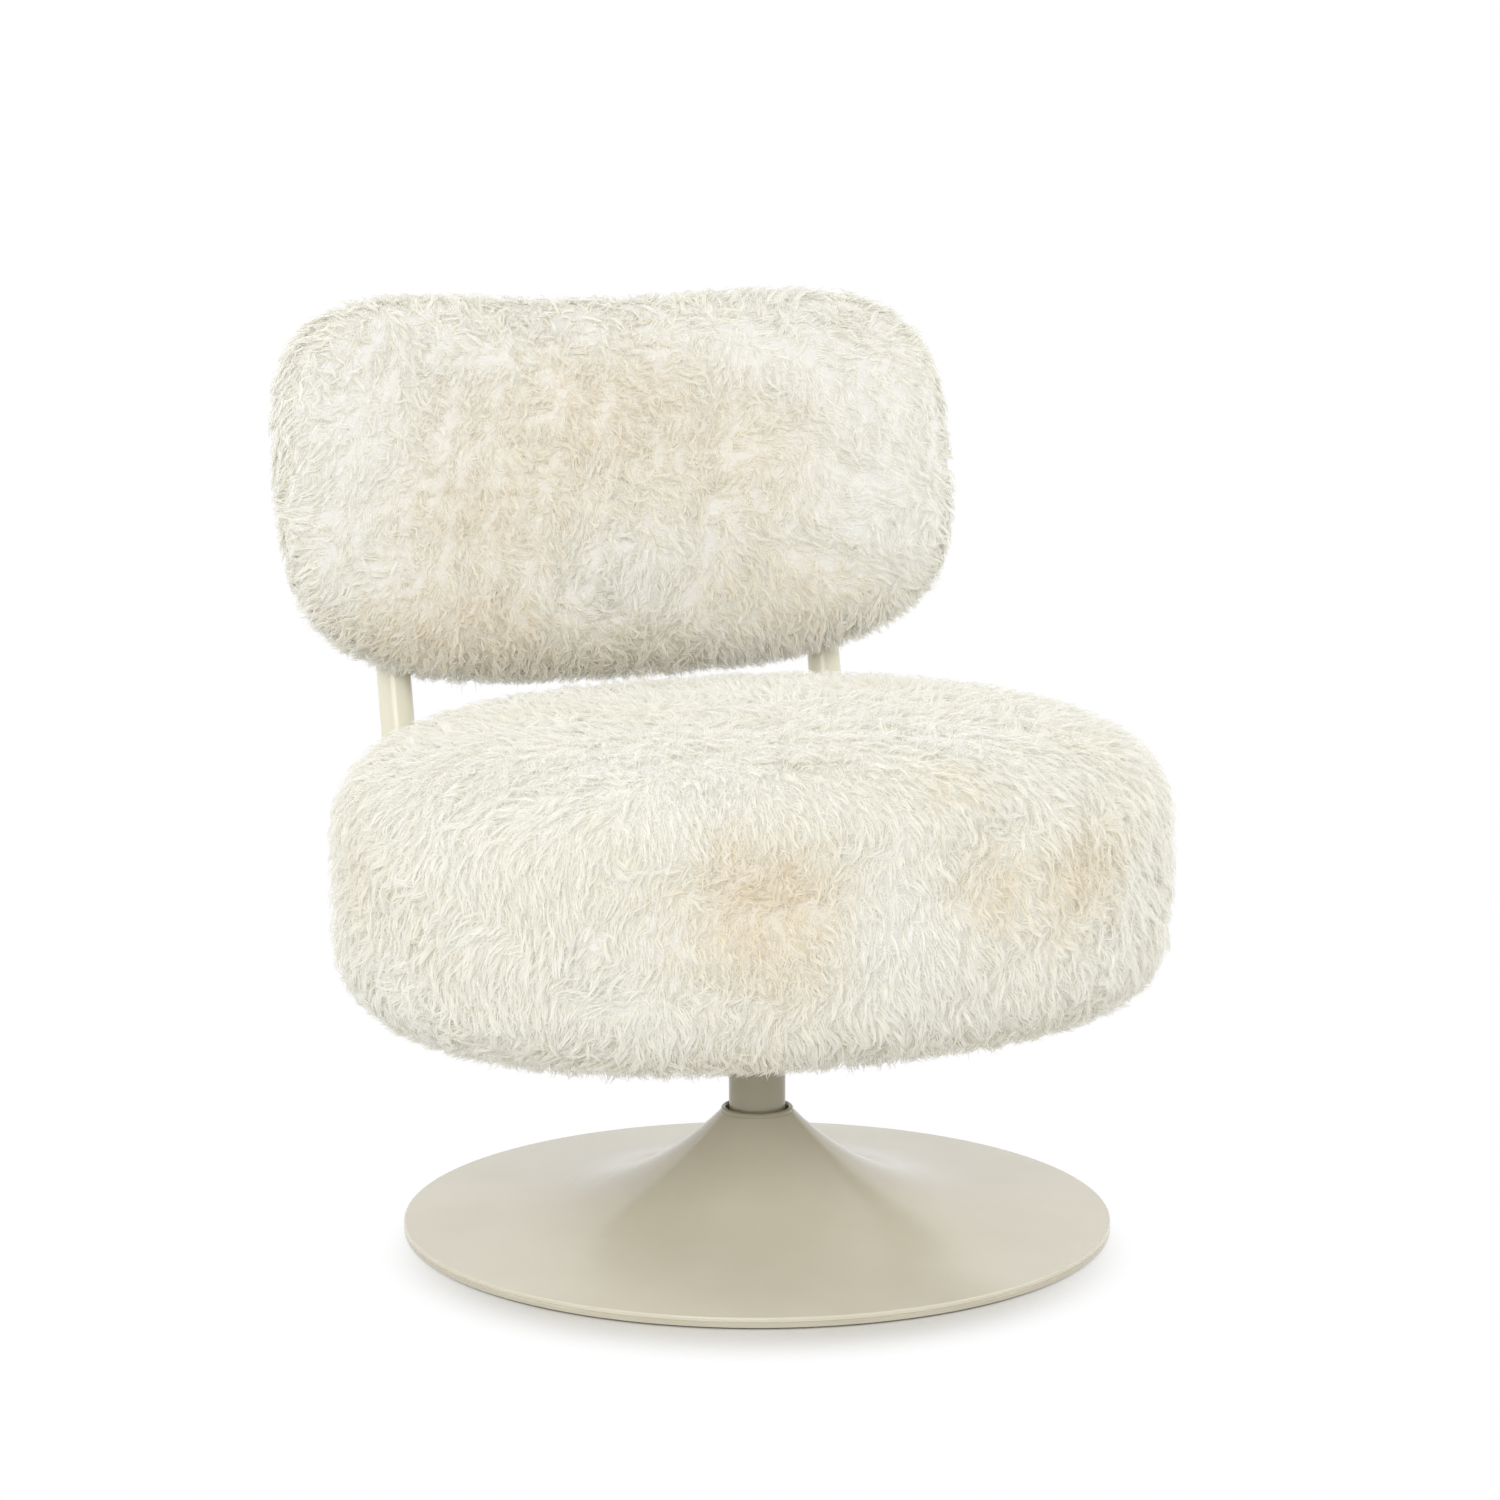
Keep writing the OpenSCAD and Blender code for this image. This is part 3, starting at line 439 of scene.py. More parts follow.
class SeatForm:
    """The seat cushion's outside: a thick oval, flat below."""

    @staticmethod
    def points(u, v, inset=0.0):
        """Places at angles u round the plan and v up from the middle, inset from the outside."""
        power = np.where(v > 0, SEAT_UP_POWER, SEAT_DOWN_POWER)
        high = np.where(v > 0, SEAT_UP, SEAT_DOWN) - inset
        deep = np.where(np.sin(u) > 0, SEAT_REAR, SEAT_FRONT) - inset
        spread = np.abs(np.cos(v)) ** (2 / power)
        x = (SEAT_HALF_WIDTH - inset) * spow(np.cos(u), 2 / SEAT_PLAN_POWER) * spread
        y = deep * spow(np.sin(u), 2 / SEAT_PLAN_POWER) * spread
        z = SEAT_MID_Z + high * spow(np.sin(v), 2 / power)
        return np.stack([x, y, np.maximum(z, SEAT_BOTTOM_Z + inset)], -1)

    @staticmethod
    def level(points):
        """Each point's height over the cushion's outside in metres, and the way straight out."""
        x, y, z = points[:, 0] / SEAT_HALF_WIDTH, points[:, 1], points[:, 2] - SEAT_MID_Z
        deep = np.where(y > 0, SEAT_REAR, SEAT_FRONT)
        high = np.where(z > 0, SEAT_UP, SEAT_DOWN)
        power = np.where(z > 0, SEAT_UP_POWER, SEAT_DOWN_POWER)
        a, b, c = np.abs(x) + 1e-9, np.abs(y / deep) + 1e-9, np.abs(z / high) + 1e-9
        plan = a**SEAT_PLAN_POWER + b**SEAT_PLAN_POWER
        whole = plan ** (power / SEAT_PLAN_POWER) + c**power
        value = whole ** (1 / power)
        first = value / whole / power
        round_plan = first * (power / SEAT_PLAN_POWER) * plan ** (power / SEAT_PLAN_POWER - 1) * SEAT_PLAN_POWER
        gradient = np.stack(
            [
                round_plan * a ** (SEAT_PLAN_POWER - 1) * np.sign(x) / SEAT_HALF_WIDTH,
                round_plan * b ** (SEAT_PLAN_POWER - 1) * np.sign(y) / deep,
                first * power * c ** (power - 1) * np.sign(z) / high,
            ],
            -1,
        )
        steep = np.maximum(np.linalg.norm(gradient, axis=1), 1e-6)
        out = gradient / steep[:, None]
        height = (value - 1) / steep
        below = SEAT_BOTTOM_Z - points[:, 2]
        low = below > height
        height = np.where(low, below, height)
        out[low] = (0, 0, -1)
        return height, out

    @staticmethod
    def woolly(points):
        """Where the outside carries pile: everywhere but on the middle of its underside."""
        deep = np.where(points[:, 1] > 0, SEAT_REAR, SEAT_FRONT)
        plan = np.abs(points[:, 0] / SEAT_HALF_WIDTH) ** SEAT_PLAN_POWER
        plan += np.abs(points[:, 1] / deep) ** SEAT_PLAN_POWER
        share = plan ** (1 / SEAT_PLAN_POWER)
        return (points[:, 2] > SEAT_BOTTOM_Z + 0.5 * MM) | (share > SEAT_BARE_SHARE)

    @staticmethod
    def combed(points):
        """The way the pile lies: outwards over the top, down the sides."""
        away = points - np.array([0, 0, SEAT_MID_Z])
        away[:, 2] = 0
        away /= np.array([SEAT_HALF_WIDTH, SEAT_FRONT, 1.0])
        strength = np.clip(np.linalg.norm(away, axis=1), 0, 1)[:, None]
        return unit(away) * strength * 0.9 + np.array([0, 0, -1.2])

    @staticmethod
    def hanging(points, out):
        """How far the pile hangs straight instead of following the outside: at the lower edge."""
        return np.clip((SEAT_HANG_Z - points[:, 2]) / SEAT_HANG_BLEND, 0, 1) * 0.85

    @staticmethod
    def warmth(points):
        """How warm and curly the pile is, from 0 to 1: a patch at the front, one at the right, a faint one above."""
        return warm_spots(
            points,
            ((-0.112, -0.262, 0.320), (0.065, 0.08, 0.068), 1.0),
            ((-0.143, -0.255, 0.376), (0.032, 0.06, 0.026), 0.8),
            ((-0.100, -0.269, 0.280), (0.052, 0.08, 0.034), 0.8),
            ((0.078, -0.272, 0.330), (0.050, 0.08, 0.036), 0.65),
            ((0.175, -0.250, 0.324), (0.055, 0.08, 0.052), 0.85),
            ((0.058, -0.245, 0.413), (0.040, 0.05, 0.020), 0.35),
        )


class BackForm:
    """The back cushion's outside: a leaning rounded oblong whose ends bend forward and whose top edge dips."""

    @staticmethod
    def world(local):
        """Places in the chair's frame from places in the cushion's own."""
        x, y, z = local[..., 0], local[..., 1], local[..., 2]
        c, s = math.cos(BACK_LEAN), math.sin(BACK_LEAN)
        return np.stack([x, BACK_Y + y * c + z * s, BACK_Z + z * c - y * s], -1)

    @staticmethod
    def local(points):
        """Places in the cushion's own frame from places in the chair's."""
        y, z = points[:, 1] - BACK_Y, points[:, 2] - BACK_Z
        c, s = math.cos(BACK_LEAN), math.sin(BACK_LEAN)
        return np.stack([points[:, 0], y * c - z * s, y * s + z * c], -1)

    @staticmethod
    def points(u, v, inset=0.0):
        """Places at angles u round the outline and v from front to rear, inset from the outside."""
        spread = np.abs(np.cos(v)) ** (2 / BACK_EDGE_POWER)
        xs = spow(np.cos(u), 2 / BACK_OUTLINE_POWER) * spread
        zs = spow(np.sin(u), 2 / BACK_OUTLINE_POWER) * spread
        deep = np.where(v > 0, BACK_REAR, BACK_FRONT) - inset
        x = (BACK_HALF_WIDTH - inset) * xs
        y = deep * spow(np.sin(v), 2 / BACK_EDGE_POWER) - BACK_WRAP * xs**2
        z = (BACK_HALF_HEIGHT - inset) * zs + BACK_DIP * (xs**2 - BACK_DIP_LEVEL) * np.maximum(zs, 0)
        return BackForm.world(np.stack([x, y, z], -1))

    @staticmethod
    def level(points):
        """Each point's height over the cushion's outside in metres, and the way straight out."""
        q = BackForm.local(points)
        xs = q[:, 0] / BACK_HALF_WIDTH
        tall = BACK_HALF_HEIGHT + BACK_DIP * (xs**2 - BACK_DIP_LEVEL) * (q[:, 2] > 0)
        zs = q[:, 2] / tall
        y = q[:, 1] + BACK_WRAP * xs**2
        deep = np.where(y > 0, BACK_REAR, BACK_FRONT)
        ys = y / deep
        a, b, c = np.abs(xs) + 1e-9, np.abs(zs) + 1e-9, np.abs(ys) + 1e-9
        p, e = BACK_OUTLINE_POWER, BACK_EDGE_POWER
        outline = a**p + b**p
        whole = outline ** (e / p) + c**e
        value = whole ** (1 / e)
        first = value / whole / e
        share = first * e * outline ** (e / p - 1)
        gx = share * a ** (p - 1) * np.sign(xs)
        gz = share * b ** (p - 1) * np.sign(zs)
        gy = first * e * c ** (e - 1) * np.sign(ys)
        ny = gy / deep
        nz = gz / tall
        nx = (gx + 2 * BACK_WRAP * xs * ny - 2 * BACK_DIP * xs * np.maximum(zs, 0) * nz) / BACK_HALF_WIDTH
        normal = np.stack([nx, ny, nz], -1)
        steep = np.maximum(np.linalg.norm(normal, axis=1), 1e-6)
        normal /= steep[:, None]
        turn, tip = math.cos(BACK_LEAN), math.sin(BACK_LEAN)
        out = np.stack(
            [normal[:, 0], normal[:, 1] * turn + normal[:, 2] * tip, normal[:, 2] * turn - normal[:, 1] * tip], -1
        )
        return (value - 1) / steep, out

    @staticmethod
    def woolly(points):
        """Where the outside carries pile: everywhere."""
        return np.ones(len(points), bool)

    @staticmethod
    def combed(points):
        """The way the pile lies: down the face, outwards near the edges."""
        q = BackForm.local(points)
        side = q[:, 0] / BACK_HALF_WIDTH
        up = q[:, 2] / BACK_HALF_HEIGHT
        way = np.zeros_like(points)
        way[:, 0] = side * 0.9
        way[:, 2] = -0.75 + np.clip(up - 0.4, 0, 1) * 1.5
        return way

    @staticmethod
    def hanging(points, out):
        """How far the pile hangs straight instead of following the outside: where it faces down."""
        return np.clip((-out[:, 2] - 0.05) / 0.4, 0, 1) * 0.95

    @staticmethod
    def warmth(points):
        """How warm and curly the pile is: a broad cloud over the face, most of all along its lower edge."""
        q = BackForm.local(points)
        warm = warm_spots(
            q[:, (0, 2)],
            ((-0.01, 0.03), (0.21, 0.085), 0.75),
            ((-0.13, -0.03), (0.12, 0.07), 0.7),
            ((0.10, 0.01), (0.11, 0.07), 0.55),
            ((-0.16, -0.13), (0.10, 0.06), 0.85),
            ((0.00, -0.165), (0.16, 0.045), 0.6),
            ((0.13, -0.12), (0.10, 0.05), 0.55),
        )
        behind = q[:, 1] + BACK_WRAP * (q[:, 0] / BACK_HALF_WIDTH) ** 2
        return warm * np.clip((BACK_WARM_END - behind) / BACK_WARM_BLEND, 0, 1)


def scattered(form, count, random):
    """Random places spread evenly over the outside that carries pile, and the ways straight out."""
    u = np.linspace(-math.pi, math.pi, 721)
    v = np.linspace(-math.pi / 2, math.pi / 2, 361)
    grid = form.points(u[:, None] + 0 * v, v[None, :] + 0 * u[:, None])
    a = grid[1:, :-1] - grid[:-1, :-1]
    b = grid[:-1, 1:] - grid[:-1, :-1]
    c = grid[1:, 1:] - grid[1:, :-1]
    d = grid[1:, 1:] - grid[:-1, 1:]
    area = (np.linalg.norm(np.cross(a, b), axis=-1) + np.linalg.norm(np.cross(c, d), axis=-1)) / 2
    total = np.cumsum(area.ravel())
    picks = np.searchsorted(total, (np.arange(count) + random.uniform(size=count)) / count * total[-1])
    picks = np.minimum(picks, len(total) - 1)
    i, j = np.divmod(picks, len(v) - 1)
    s, t = random.uniform(size=(2, count))
    corner = [grid[i, j], grid[i + 1, j], grid[i, j + 1], grid[i + 1, j + 1]]
    s, t = s[:, None], t[:, None]
    places = (corner[0] * (1 - s) + corner[1] * s) * (1 - t) + (corner[2] * (1 - s) + corner[3] * s) * t
    places = places[form.woolly(places)]
    height, out = form.level(places)
    return places - out * height[:, None], out


def placed(name, data):
    """An object that holds the data, in the scene."""
    made = bpy.data.objects.new(name, data)
    bpy.context.scene.collection.objects.link(made)
    return made


def smooth(piece):
    """Smooth shading over the whole piece."""
    piece.data.polygons.foreach_set("use_smooth", np.ones(len(piece.data.polygons), bool))
    return piece


def ribbon_mesh(name, spine, across, normals, tone):
    """A mesh of tapered ribbons. spine, across and normals are (ribbons, steps, 3); tone is one number for each."""
    count, steps = spine.shape[:2]
    points = np.stack([spine - across, spine + across], 2).reshape(-1, 3)
    base = (np.arange(count) * steps * 2)[:, None] + (np.arange(steps - 1) * 2)[None, :]
    faces = np.stack([base, base + 1, base + 3, base + 2], -1).reshape(-1, 4)
    mesh = bpy.data.meshes.new(name)
    mesh.vertices.add(len(points))
    mesh.vertices.foreach_set("co", points.astype(np.float32).ravel())
    mesh.loops.add(faces.size)
    mesh.loops.foreach_set("vertex_index", faces.astype(np.int32).ravel())
    mesh.polygons.add(len(faces))
    mesh.polygons.foreach_set("loop_start", (np.arange(len(faces)) * 4).astype(np.int32))
    along = np.linspace(0.02, 0.98, steps)
    u = tone[:, None, None] + np.array([-0.5, 0.5])[None, None, :] * TONE_WIDTH
    uv = np.stack(np.broadcast_arrays(u, along[None, :, None]), -1).reshape(-1, 2)
    layer = mesh.uv_layers.new(name="OFBake")
    layer.uv.foreach_set("vector", uv[faces.ravel()].astype(np.float32).ravel())
    mesh.update(calc_edges=True)
    made = smooth(placed(name, mesh))
    both = np.repeat(normals[:, :, None, :], 2, axis=2).reshape(-1, 3)
    mesh.normals_split_custom_set_from_vertices(both.astype(np.float32))
    return made


def fleece(name, form, settings, strands, depth, seed, fringe):
    """Locks of wool over a cushion's outside, as several pieces of ribbons.

    With fringe set, the lowest strands end at a ragged lower edge.
    """
    random = np.random.RandomState(seed)
    roots, out = scattered(form, strands, random)
    lock_count = max(int(len(roots) * settings.lock_share), 1)
    chosen = random.permutation(len(roots))[:lock_count]
    tree = kdtree.KDTree(lock_count)
    for k, p in enumerate(roots[chosen]):
        tree.insert(p, k)
    tree.balance()
    owner = np.fromiter((tree.find(p)[1] for p in roots), int, len(roots))
    lock_root, lock_out = roots[chosen], out[chosen]
    warm = form.warmth(lock_root)
    # each lock's own path
    way = form.combed(lock_root)
    way += swirl(lock_root, SWEEP, seed + 1) * (0.30 + 0.15 * warm[:, None])
    way += swirl(lock_root, CURL, seed + 2) * (0.42 + 0.25 * warm[:, None])
    way += random.normal(size=way.shape) * 0.25
    way -= lock_out * (way * lock_out).sum(1, keepdims=True)
    way = unit(way)
    way = unit(way + np.array([0, 0, -HANG_PULL]) * form.hanging(lock_root, lock_out)[:, None])
    side = unit(np.cross(lock_out, way))
    length = settings.length * random.uniform(0.65, 1.2, lock_count) * (1 - 0.15 * warm)
    top = settings.proud * random.uniform(-0.9, 1.0, lock_count)
    phase = random.uniform(0, 2 * math.pi, lock_count)
    waves = random.uniform(1.1, 1.9, lock_count) * (1 + 0.5 * warm)
    wave_size = settings.wave * random.uniform(0.4, 1.1, lock_count) * (0.55 + 1.1 * warm)
    s = np.linspace(0, 1, RIBBON_STEPS)
    # strands gather round their lock's path
    n = len(roots)
    own = random.uniform(size=n)
    under = own < settings.undercoat
    fluff = random.normal(size=(n, 3)) * 0.7
    gather = settings.gather * random.uniform(0.75, 1.1, n)
    offset = roots - lock_root[owner]
    hangs = form.hanging(roots, out)
    spine = np.empty((n, RIBBON_STEPS, 3))
    for k, t in enumerate(s):
        path = lock_root + way * (length * (0.15 * t + 0.85 * t**1.25))[:, None]
        bend = np.sin(phase + 2 * math.pi * waves * t) - np.sin(phase)
        path = path + side * (wave_size * (0.25 + 0.75 * t) * bend)[:, None]
        strand = path[owner] + offset * (1 - np.clip(gather * t, 0, 0.95))[:, None]
        short = roots + (strand - roots) * SHORT_PATH + fluff * (settings.length * SHORT_LOOSE * t)
        strand = np.where(under[:, None], short, strand)
        height, normal = form.level(strand)
        rise = 1 - (1 - t) ** np.where(under, 3.5, 1.9)
        lift = -depth + (depth + top[owner] * (1 - 0.6 * under) - under * settings.proud * SHORT_SINK) * rise
        lift += settings.wave * 0.35 * t * np.sin(phase[owner] + 1.3 + 9 * t + own * 2.0)
        strand = strand + normal * ((lift - height) * (1 - t * hangs))[:, None]
        spine[:, k] = strand
    if fringe:
        drop = spine[:, :, 2]
        low = SEAT_TIPS_Z + SEAT_TIPS_SPREAD * random.uniform(size=n) ** 1.5
        too_long = drop.min(1) < low
        start = drop[:, 0]
        reach = np.where(too_long, (start - low) / np.maximum(start - drop.min(1), 1e-6), 1.0)
        reach = np.clip(reach, 0.05, 1.0)
        spine = spine[:, :1] + (spine - spine[:, :1]) * reach[:, None, None]
    # widths: a ribbon is widest past its root and pointed at its tip
    flat = np.interp(s, [0, 0.35, 0.7, 1.0], [0.8, 1.0, 0.75, 0.12])
    tangent = unit(np.gradient(spine, axis=1))
    shape = spine.reshape(-1, 3)
    normal = form.level(shape)[1].reshape(spine.shape)
    across = unit(np.cross(tangent, normal))
    roll = random.normal(size=n) * 0.45
    across = unit(across * np.cos(roll)[:, None, None] + np.cross(tangent, across) * np.sin(roll)[:, None, None])
    face = unit(np.cross(across, tangent))
    width = settings.width * random.uniform(0.6, 1.25, n)
    across = across * (width[:, None] * flat[None, :])[:, :, None] / 2
    tone = TONE_PLAIN + TONE_WARM * warm[owner]
    tone += random.normal(size=lock_count)[owner] * 0.07
    tone += random.normal(size=n) * 0.05
    tone += swirl(roots, TONE_CLOUD, seed + 5)[:, 0] * 0.05
    tone = np.clip(tone, 0.01, 0.99)
    # a piece is a share of the locks in order round the cushion
    around = np.arctan2(lock_root[:, 1] - lock_root[:, 1].mean(), lock_root[:, 0])
    order = np.argsort(np.argsort(around)) * WOOL_PIECES // lock_count
    part = order[owner]
    return [
        ribbon_mesh(f"{name}_{k + 1:02d}", spine[part == k], across[part == k], face[part == k], tone[part == k])
        for k in range(WOOL_PIECES)
    ]


def closed_mesh(name, form, inset, around=96, along=48):
    """A closed quad mesh of a form, inset from its outside."""
    u = np.linspace(-math.pi, math.pi, around, endpoint=False)
    v = np.linspace(-math.pi / 2, math.pi / 2, along + 1)[1:-1]
    grid = form.points(u[None, :] + 0 * v[:, None], v[:, None] + 0 * u[None, :], inset)
    ends = [form.points(np.array([0.0]), np.array([w]), inset)[0] for w in (-math.pi / 2, math.pi / 2)]
    points = np.concatenate([grid.reshape(-1, 3), np.array(ends)])
    faces = []
    rows = len(v)
    for i in range(rows - 1):
        for j in range(around):
            k = (j + 1) % around
            faces.append((i * around + j, i * around + k, (i + 1) * around + k, (i + 1) * around + j))
    for j in range(around):
        k = (j + 1) % around
        faces.append((rows * around, k, j))
        faces.append((rows * around + 1, (rows - 1) * around + j, (rows - 1) * around + k))
    mesh = bpy.data.meshes.new(name)
    mesh.from_pydata(points.tolist(), [], faces)
    mesh.update()
    return placed(name, mesh)


def applied(piece):
    """Turns a piece's modifiers into its mesh."""
    graph = bpy.context.evaluated_depsgraph_get()
    mesh = bpy.data.meshes.new_from_object(piece.evaluated_get(graph))
    piece.modifiers.clear()
    piece.data = mesh


def puffed(name, form, inset, cap):
    """A cushion that starts inset and cap inside its form, is blown up as sewn cloth, and moves out by cap at most."""
    piece = closed_mesh(name, form, inset + cap)
    remesh = piece.modifiers.new("even", "REMESH")
    remesh.mode = "VOXEL"
    remesh.voxel_size = PAD_VOXEL
    applied(piece)
    count = len(piece.data.vertices)
    rest = np.empty(count * 3)
    piece.data.vertices.foreach_get("co", rest)
    warmth = piece.data.attributes.new("warmth", "FLOAT", "POINT")
    warmth.data.foreach_set("value", form.warmth(rest.reshape(-1, 3)).astype(np.float32))
    smooth(piece)
    cloth = piece.modifiers.new("cloth", "CLOTH").settings
    cloth.quality = 4
    cloth.use_pressure = True
    cloth.uniform_pressure_force = 4.0
    cloth.effector_weights.gravity = 0.0
    cloth.tension_stiffness = cloth.compression_stiffness = 15
    scene = bpy.context.scene
    for step in range(1, CLOTH_FRAMES + 1):
        scene.frame_set(step)
    graph = bpy.context.evaluated_depsgraph_get()
    blown = np.empty(count * 3)
    piece.evaluated_get(graph).data.vertices.foreach_get("co", blown)
    piece.modifiers.clear()
    scene.frame_set(1)
    # only the part that moves straight out is kept, so the foam stays covered
    rest = rest.reshape(-1, 3)
    out = form.level(rest)[1]
    swell = ((blown.reshape(-1, 3) - rest) * out).sum(1, keepdims=True)
    piece.data.vertices.foreach_set("co", (rest + out * np.clip(swell, 0, cap)).ravel())
    piece.data.update()
    return piece


def dress(material, *nodes):
    """Gives CAD nodes a material."""
    for name in nodes:
        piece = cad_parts[name]
        piece.data.materials.clear()
        piece.data.materials.append(material)


class FleeceSettings(bpy.types.PropertyGroup):
    """The sheepskin's locks and colours."""

    seat_strands: bpy.props.IntProperty(
        name="Seat strands", description="Ribbons of wool on the seat cushion", default=190000, min=1000
    )
    back_strands: bpy.props.IntProperty(
        name="Back strands", description="Ribbons of wool on the back cushion", default=150000, min=1000
    )
    length: bpy.props.FloatProperty(
        name="Lock length", description="How far a lock lies along the cushion", default=0.018, unit="LENGTH"
    )
    depth: bpy.props.FloatProperty(
        name="Seat pile depth", description="How deep the seat's locks start under its outside",
        default=0.0056, unit="LENGTH",
    )
    back_depth: bpy.props.FloatProperty(
        name="Back pile depth", description="How deep the back's locks start under its outside",
        default=0.0038, unit="LENGTH",
    )
    proud: bpy.props.FloatProperty(
        name="Stray height", description="How far lock tips stand over or under the outside",
        default=0.005, unit="LENGTH",
    )
    width: bpy.props.FloatProperty(
        name="Strand width", description="Width of one ribbon of wool", default=0.0010, unit="LENGTH"
    )
    wave: bpy.props.FloatProperty(
        name="Wave", description="How far a lock swings to each side", default=0.0021, unit="LENGTH"
    )
    gather: bpy.props.FloatProperty(
        name="Gathering", description="How tightly strands gather at a lock's tip", default=0.5, subtype="FACTOR"
    )
    lock_share: bpy.props.FloatProperty(
        name="Locks", description="Number of locks as a share of the strands", default=0.15, subtype="FACTOR"
    )
    thin: bpy.props.FloatProperty(
        name="Thinness", description="Share of the light that passes through a strand", default=0.5, subtype="FACTOR"
    )
    undercoat: bpy.props.FloatProperty(
        name="Undercoat", description="Share of the strands that are short and lie any way",
        default=0.32, subtype="FACTOR",
    )
    light: bpy.props.FloatVectorProperty(
        name="Light wool", description="Colour of the palest locks", default=linear("#fcfcf9"), subtype="COLOR"
    )
    cream: bpy.props.FloatVectorProperty(
        name="Cream wool", description="Colour of most locks", default=linear("#fbfaf5"), subtype="COLOR"
    )
    warm: bpy.props.FloatVectorProperty(
        name="Warm wool", description="Colour of the warm, curly patches", default=linear("#f8f1e3"), subtype="COLOR"
    )
    # painted shade: the wool's colour is multiplied by this at the skin, for the pile's depth
    root: bpy.props.FloatVectorProperty(
        name="Roots", description="What the colour is multiplied by at the skin",
        default=linear("#fdfcf8"), subtype="COLOR",
    )


class PaintSettings(bpy.types.PropertyGroup):
    """The painted metal."""

    foot_shade: bpy.props.StringProperty(
        name="Foot, shade", description="Darker colour of the foot's powder coat", default="#cdc7b5"
    )
    foot_light: bpy.props.StringProperty(
        name="Foot, light", description="Lighter colour of the foot's powder coat", default="#d1cbba"
    )
    # the column's coat is the foot's paint darkened: painted shade, where the seat shades the column
    column_painted_shade_dark: bpy.props.StringProperty(
        name="Column, shade", description="Darker colour of the column's powder coat", default="#aea895"
    )
    column_painted_shade_pale: bpy.props.StringProperty(
        name="Column, light", description="Lighter colour of the column's powder coat", default="#b3ad9a"
    )
    tube_shade: bpy.props.StringProperty(
        name="Tubes, shade", description="Darker colour of the back tubes' powder coat", default="#dcd8c4"
    )
    tube_light: bpy.props.StringProperty(
        name="Tubes, light", description="Lighter colour of the back tubes' powder coat", default="#e2decb"
    )
    peel: bpy.props.FloatProperty(
        name="Orange peel", description="Strength of the paint's dimples", default=0.08, subtype="FACTOR"
    )


class StudioSettings(bpy.types.PropertyGroup):
    """The studio."""

    sky: bpy.props.FloatProperty(name="Sky", description="Brightest part of the light tent", default=1.3)
    left: bpy.props.FloatProperty(
        name="Left lamp", description="Power of the lamp at the left", default=12.0, unit="POWER"
    )
    right: bpy.props.FloatProperty(
        name="Right lamp", description="Power of the lamp at the right", default=16.0, unit="POWER"
    )
    front: bpy.props.FloatProperty(
        name="Front lamp", description="Power of the lamp at the front", default=32.0, unit="POWER"
    )
    # where the floor's painted shade circle has faded to plain white
    shadow: bpy.props.FloatProperty(
        name="Shadow", description="How far from the middle of the foot its shadow has faded out",
        default=0.317, unit="LENGTH",
    )


class LOUNGE_OT_foot(bpy.types.Operator):
    """Paints the trumpet foot, and the collar and column in a darker copy of its paint: painted shade under the seat.
    """

    bl_idname = "lounge.foot"
    bl_label = "Foot and column paint"

    def execute(self, context):
        wish = context.scene.lounge_paint
        dress(powder_coat("satin_powder_coat_greige", wish.foot_shade, wish.foot_light, wish.peel),
              "base_cover")
        # collar, column and flange: the foot's paint darkened as painted shade under the seat
        dress(powder_coat("satin_powder_coat_column_painted_shade", wish.column_painted_shade_dark, wish.column_painted_shade_pale, wish.peel),
              "collar_ring", "column_tube", "column_flange")
        dress(powder_coat("satin_powder_coat_plate", "#bdb7a4", "#c2bca9", wish.peel), "base_plate")
        return {"FINISHED"}


class LOUNGE_OT_tubes(bpy.types.Operator):
    """Paints the two tubes that carry the back."""

    bl_idname = "lounge.tubes"
    bl_label = "Back tube paint"

    def execute(self, context):
        wish = context.scene.lounge_paint
        dress(powder_coat("satin_powder_coat_cream", wish.tube_shade, wish.tube_light, wish.peel),
              "upright_left", "upright_right")
        return {"FINISHED"}


class LOUNGE_OT_fittings(bpy.types.Operator):
    """Finishes the bearing, bolts, boards, foam, felt and cloth."""

    bl_idname = "lounge.fittings"
    bl_label = "Hidden fittings"

    def execute(self, context):
        dress(turned_metal("turned_mild_steel", "#7f7f7c", "#a3a39f", 0.34, 0.8),
              "support_sleeve", "pivot_post", "retaining_washer", "retaining_ring")
        dress(turned_metal("ground_bearing_steel", "#b4b6b9", "#cdcfd1", 0.14, 0.5),
              "bearing_lower_race", "bearing_upper_race", "bearing_balls")
        dress(zinc_plating(), "foot_screws", "flange_bolts", "flange_washers", "seat_tee_nuts",
              "rail_bolts", "back_screws", "back_washers", "rivet_nuts")
        dress(sintered_bronze(), "lower_bush", "upper_bush", "ball_cage")
        dress(moulded_acetal(), "tube_plugs")
        dress(wool_felt(), "floor_felt")
        dress(birch_plywood("birch_plywood_seat", 0.0), "seat_board")
        dress(birch_plywood("birch_plywood_back", math.pi / 2 + BACK_LEAN), "back_board")
        dress(polyurethane_foam(), "seat_foam", "back_foam_front", "back_foam_rear")
        dress(calico(), "dust_cloth")
        return {"FINISHED"}


class LOUNGE_OT_seat(bpy.types.Operator):
    """Makes the seat cushion: a puffed sheepskin pad and its wool."""

    bl_idname = "lounge.seat"
    bl_label = "Seat cushion"

    def execute(self, context):
        wish = context.scene.lounge_fleece
        pad = puffed("seat_pad", SeatForm, SEAT_PAD_INSET, SEAT_PAD_SWELL)
        pad.data.materials.append(sheepskin_hide(wish.cream, wish.warm))
        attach(pad, "seat")
        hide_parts("seat_cover")
        wool = sheepskin_wool(wish)
        for piece in fleece("seat_wool", SeatForm, wish, wish.seat_strands, wish.depth, SEAT_SEED, True):
            piece.data.materials.append(wool)
            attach(piece, "seat")
        return {"FINISHED"}


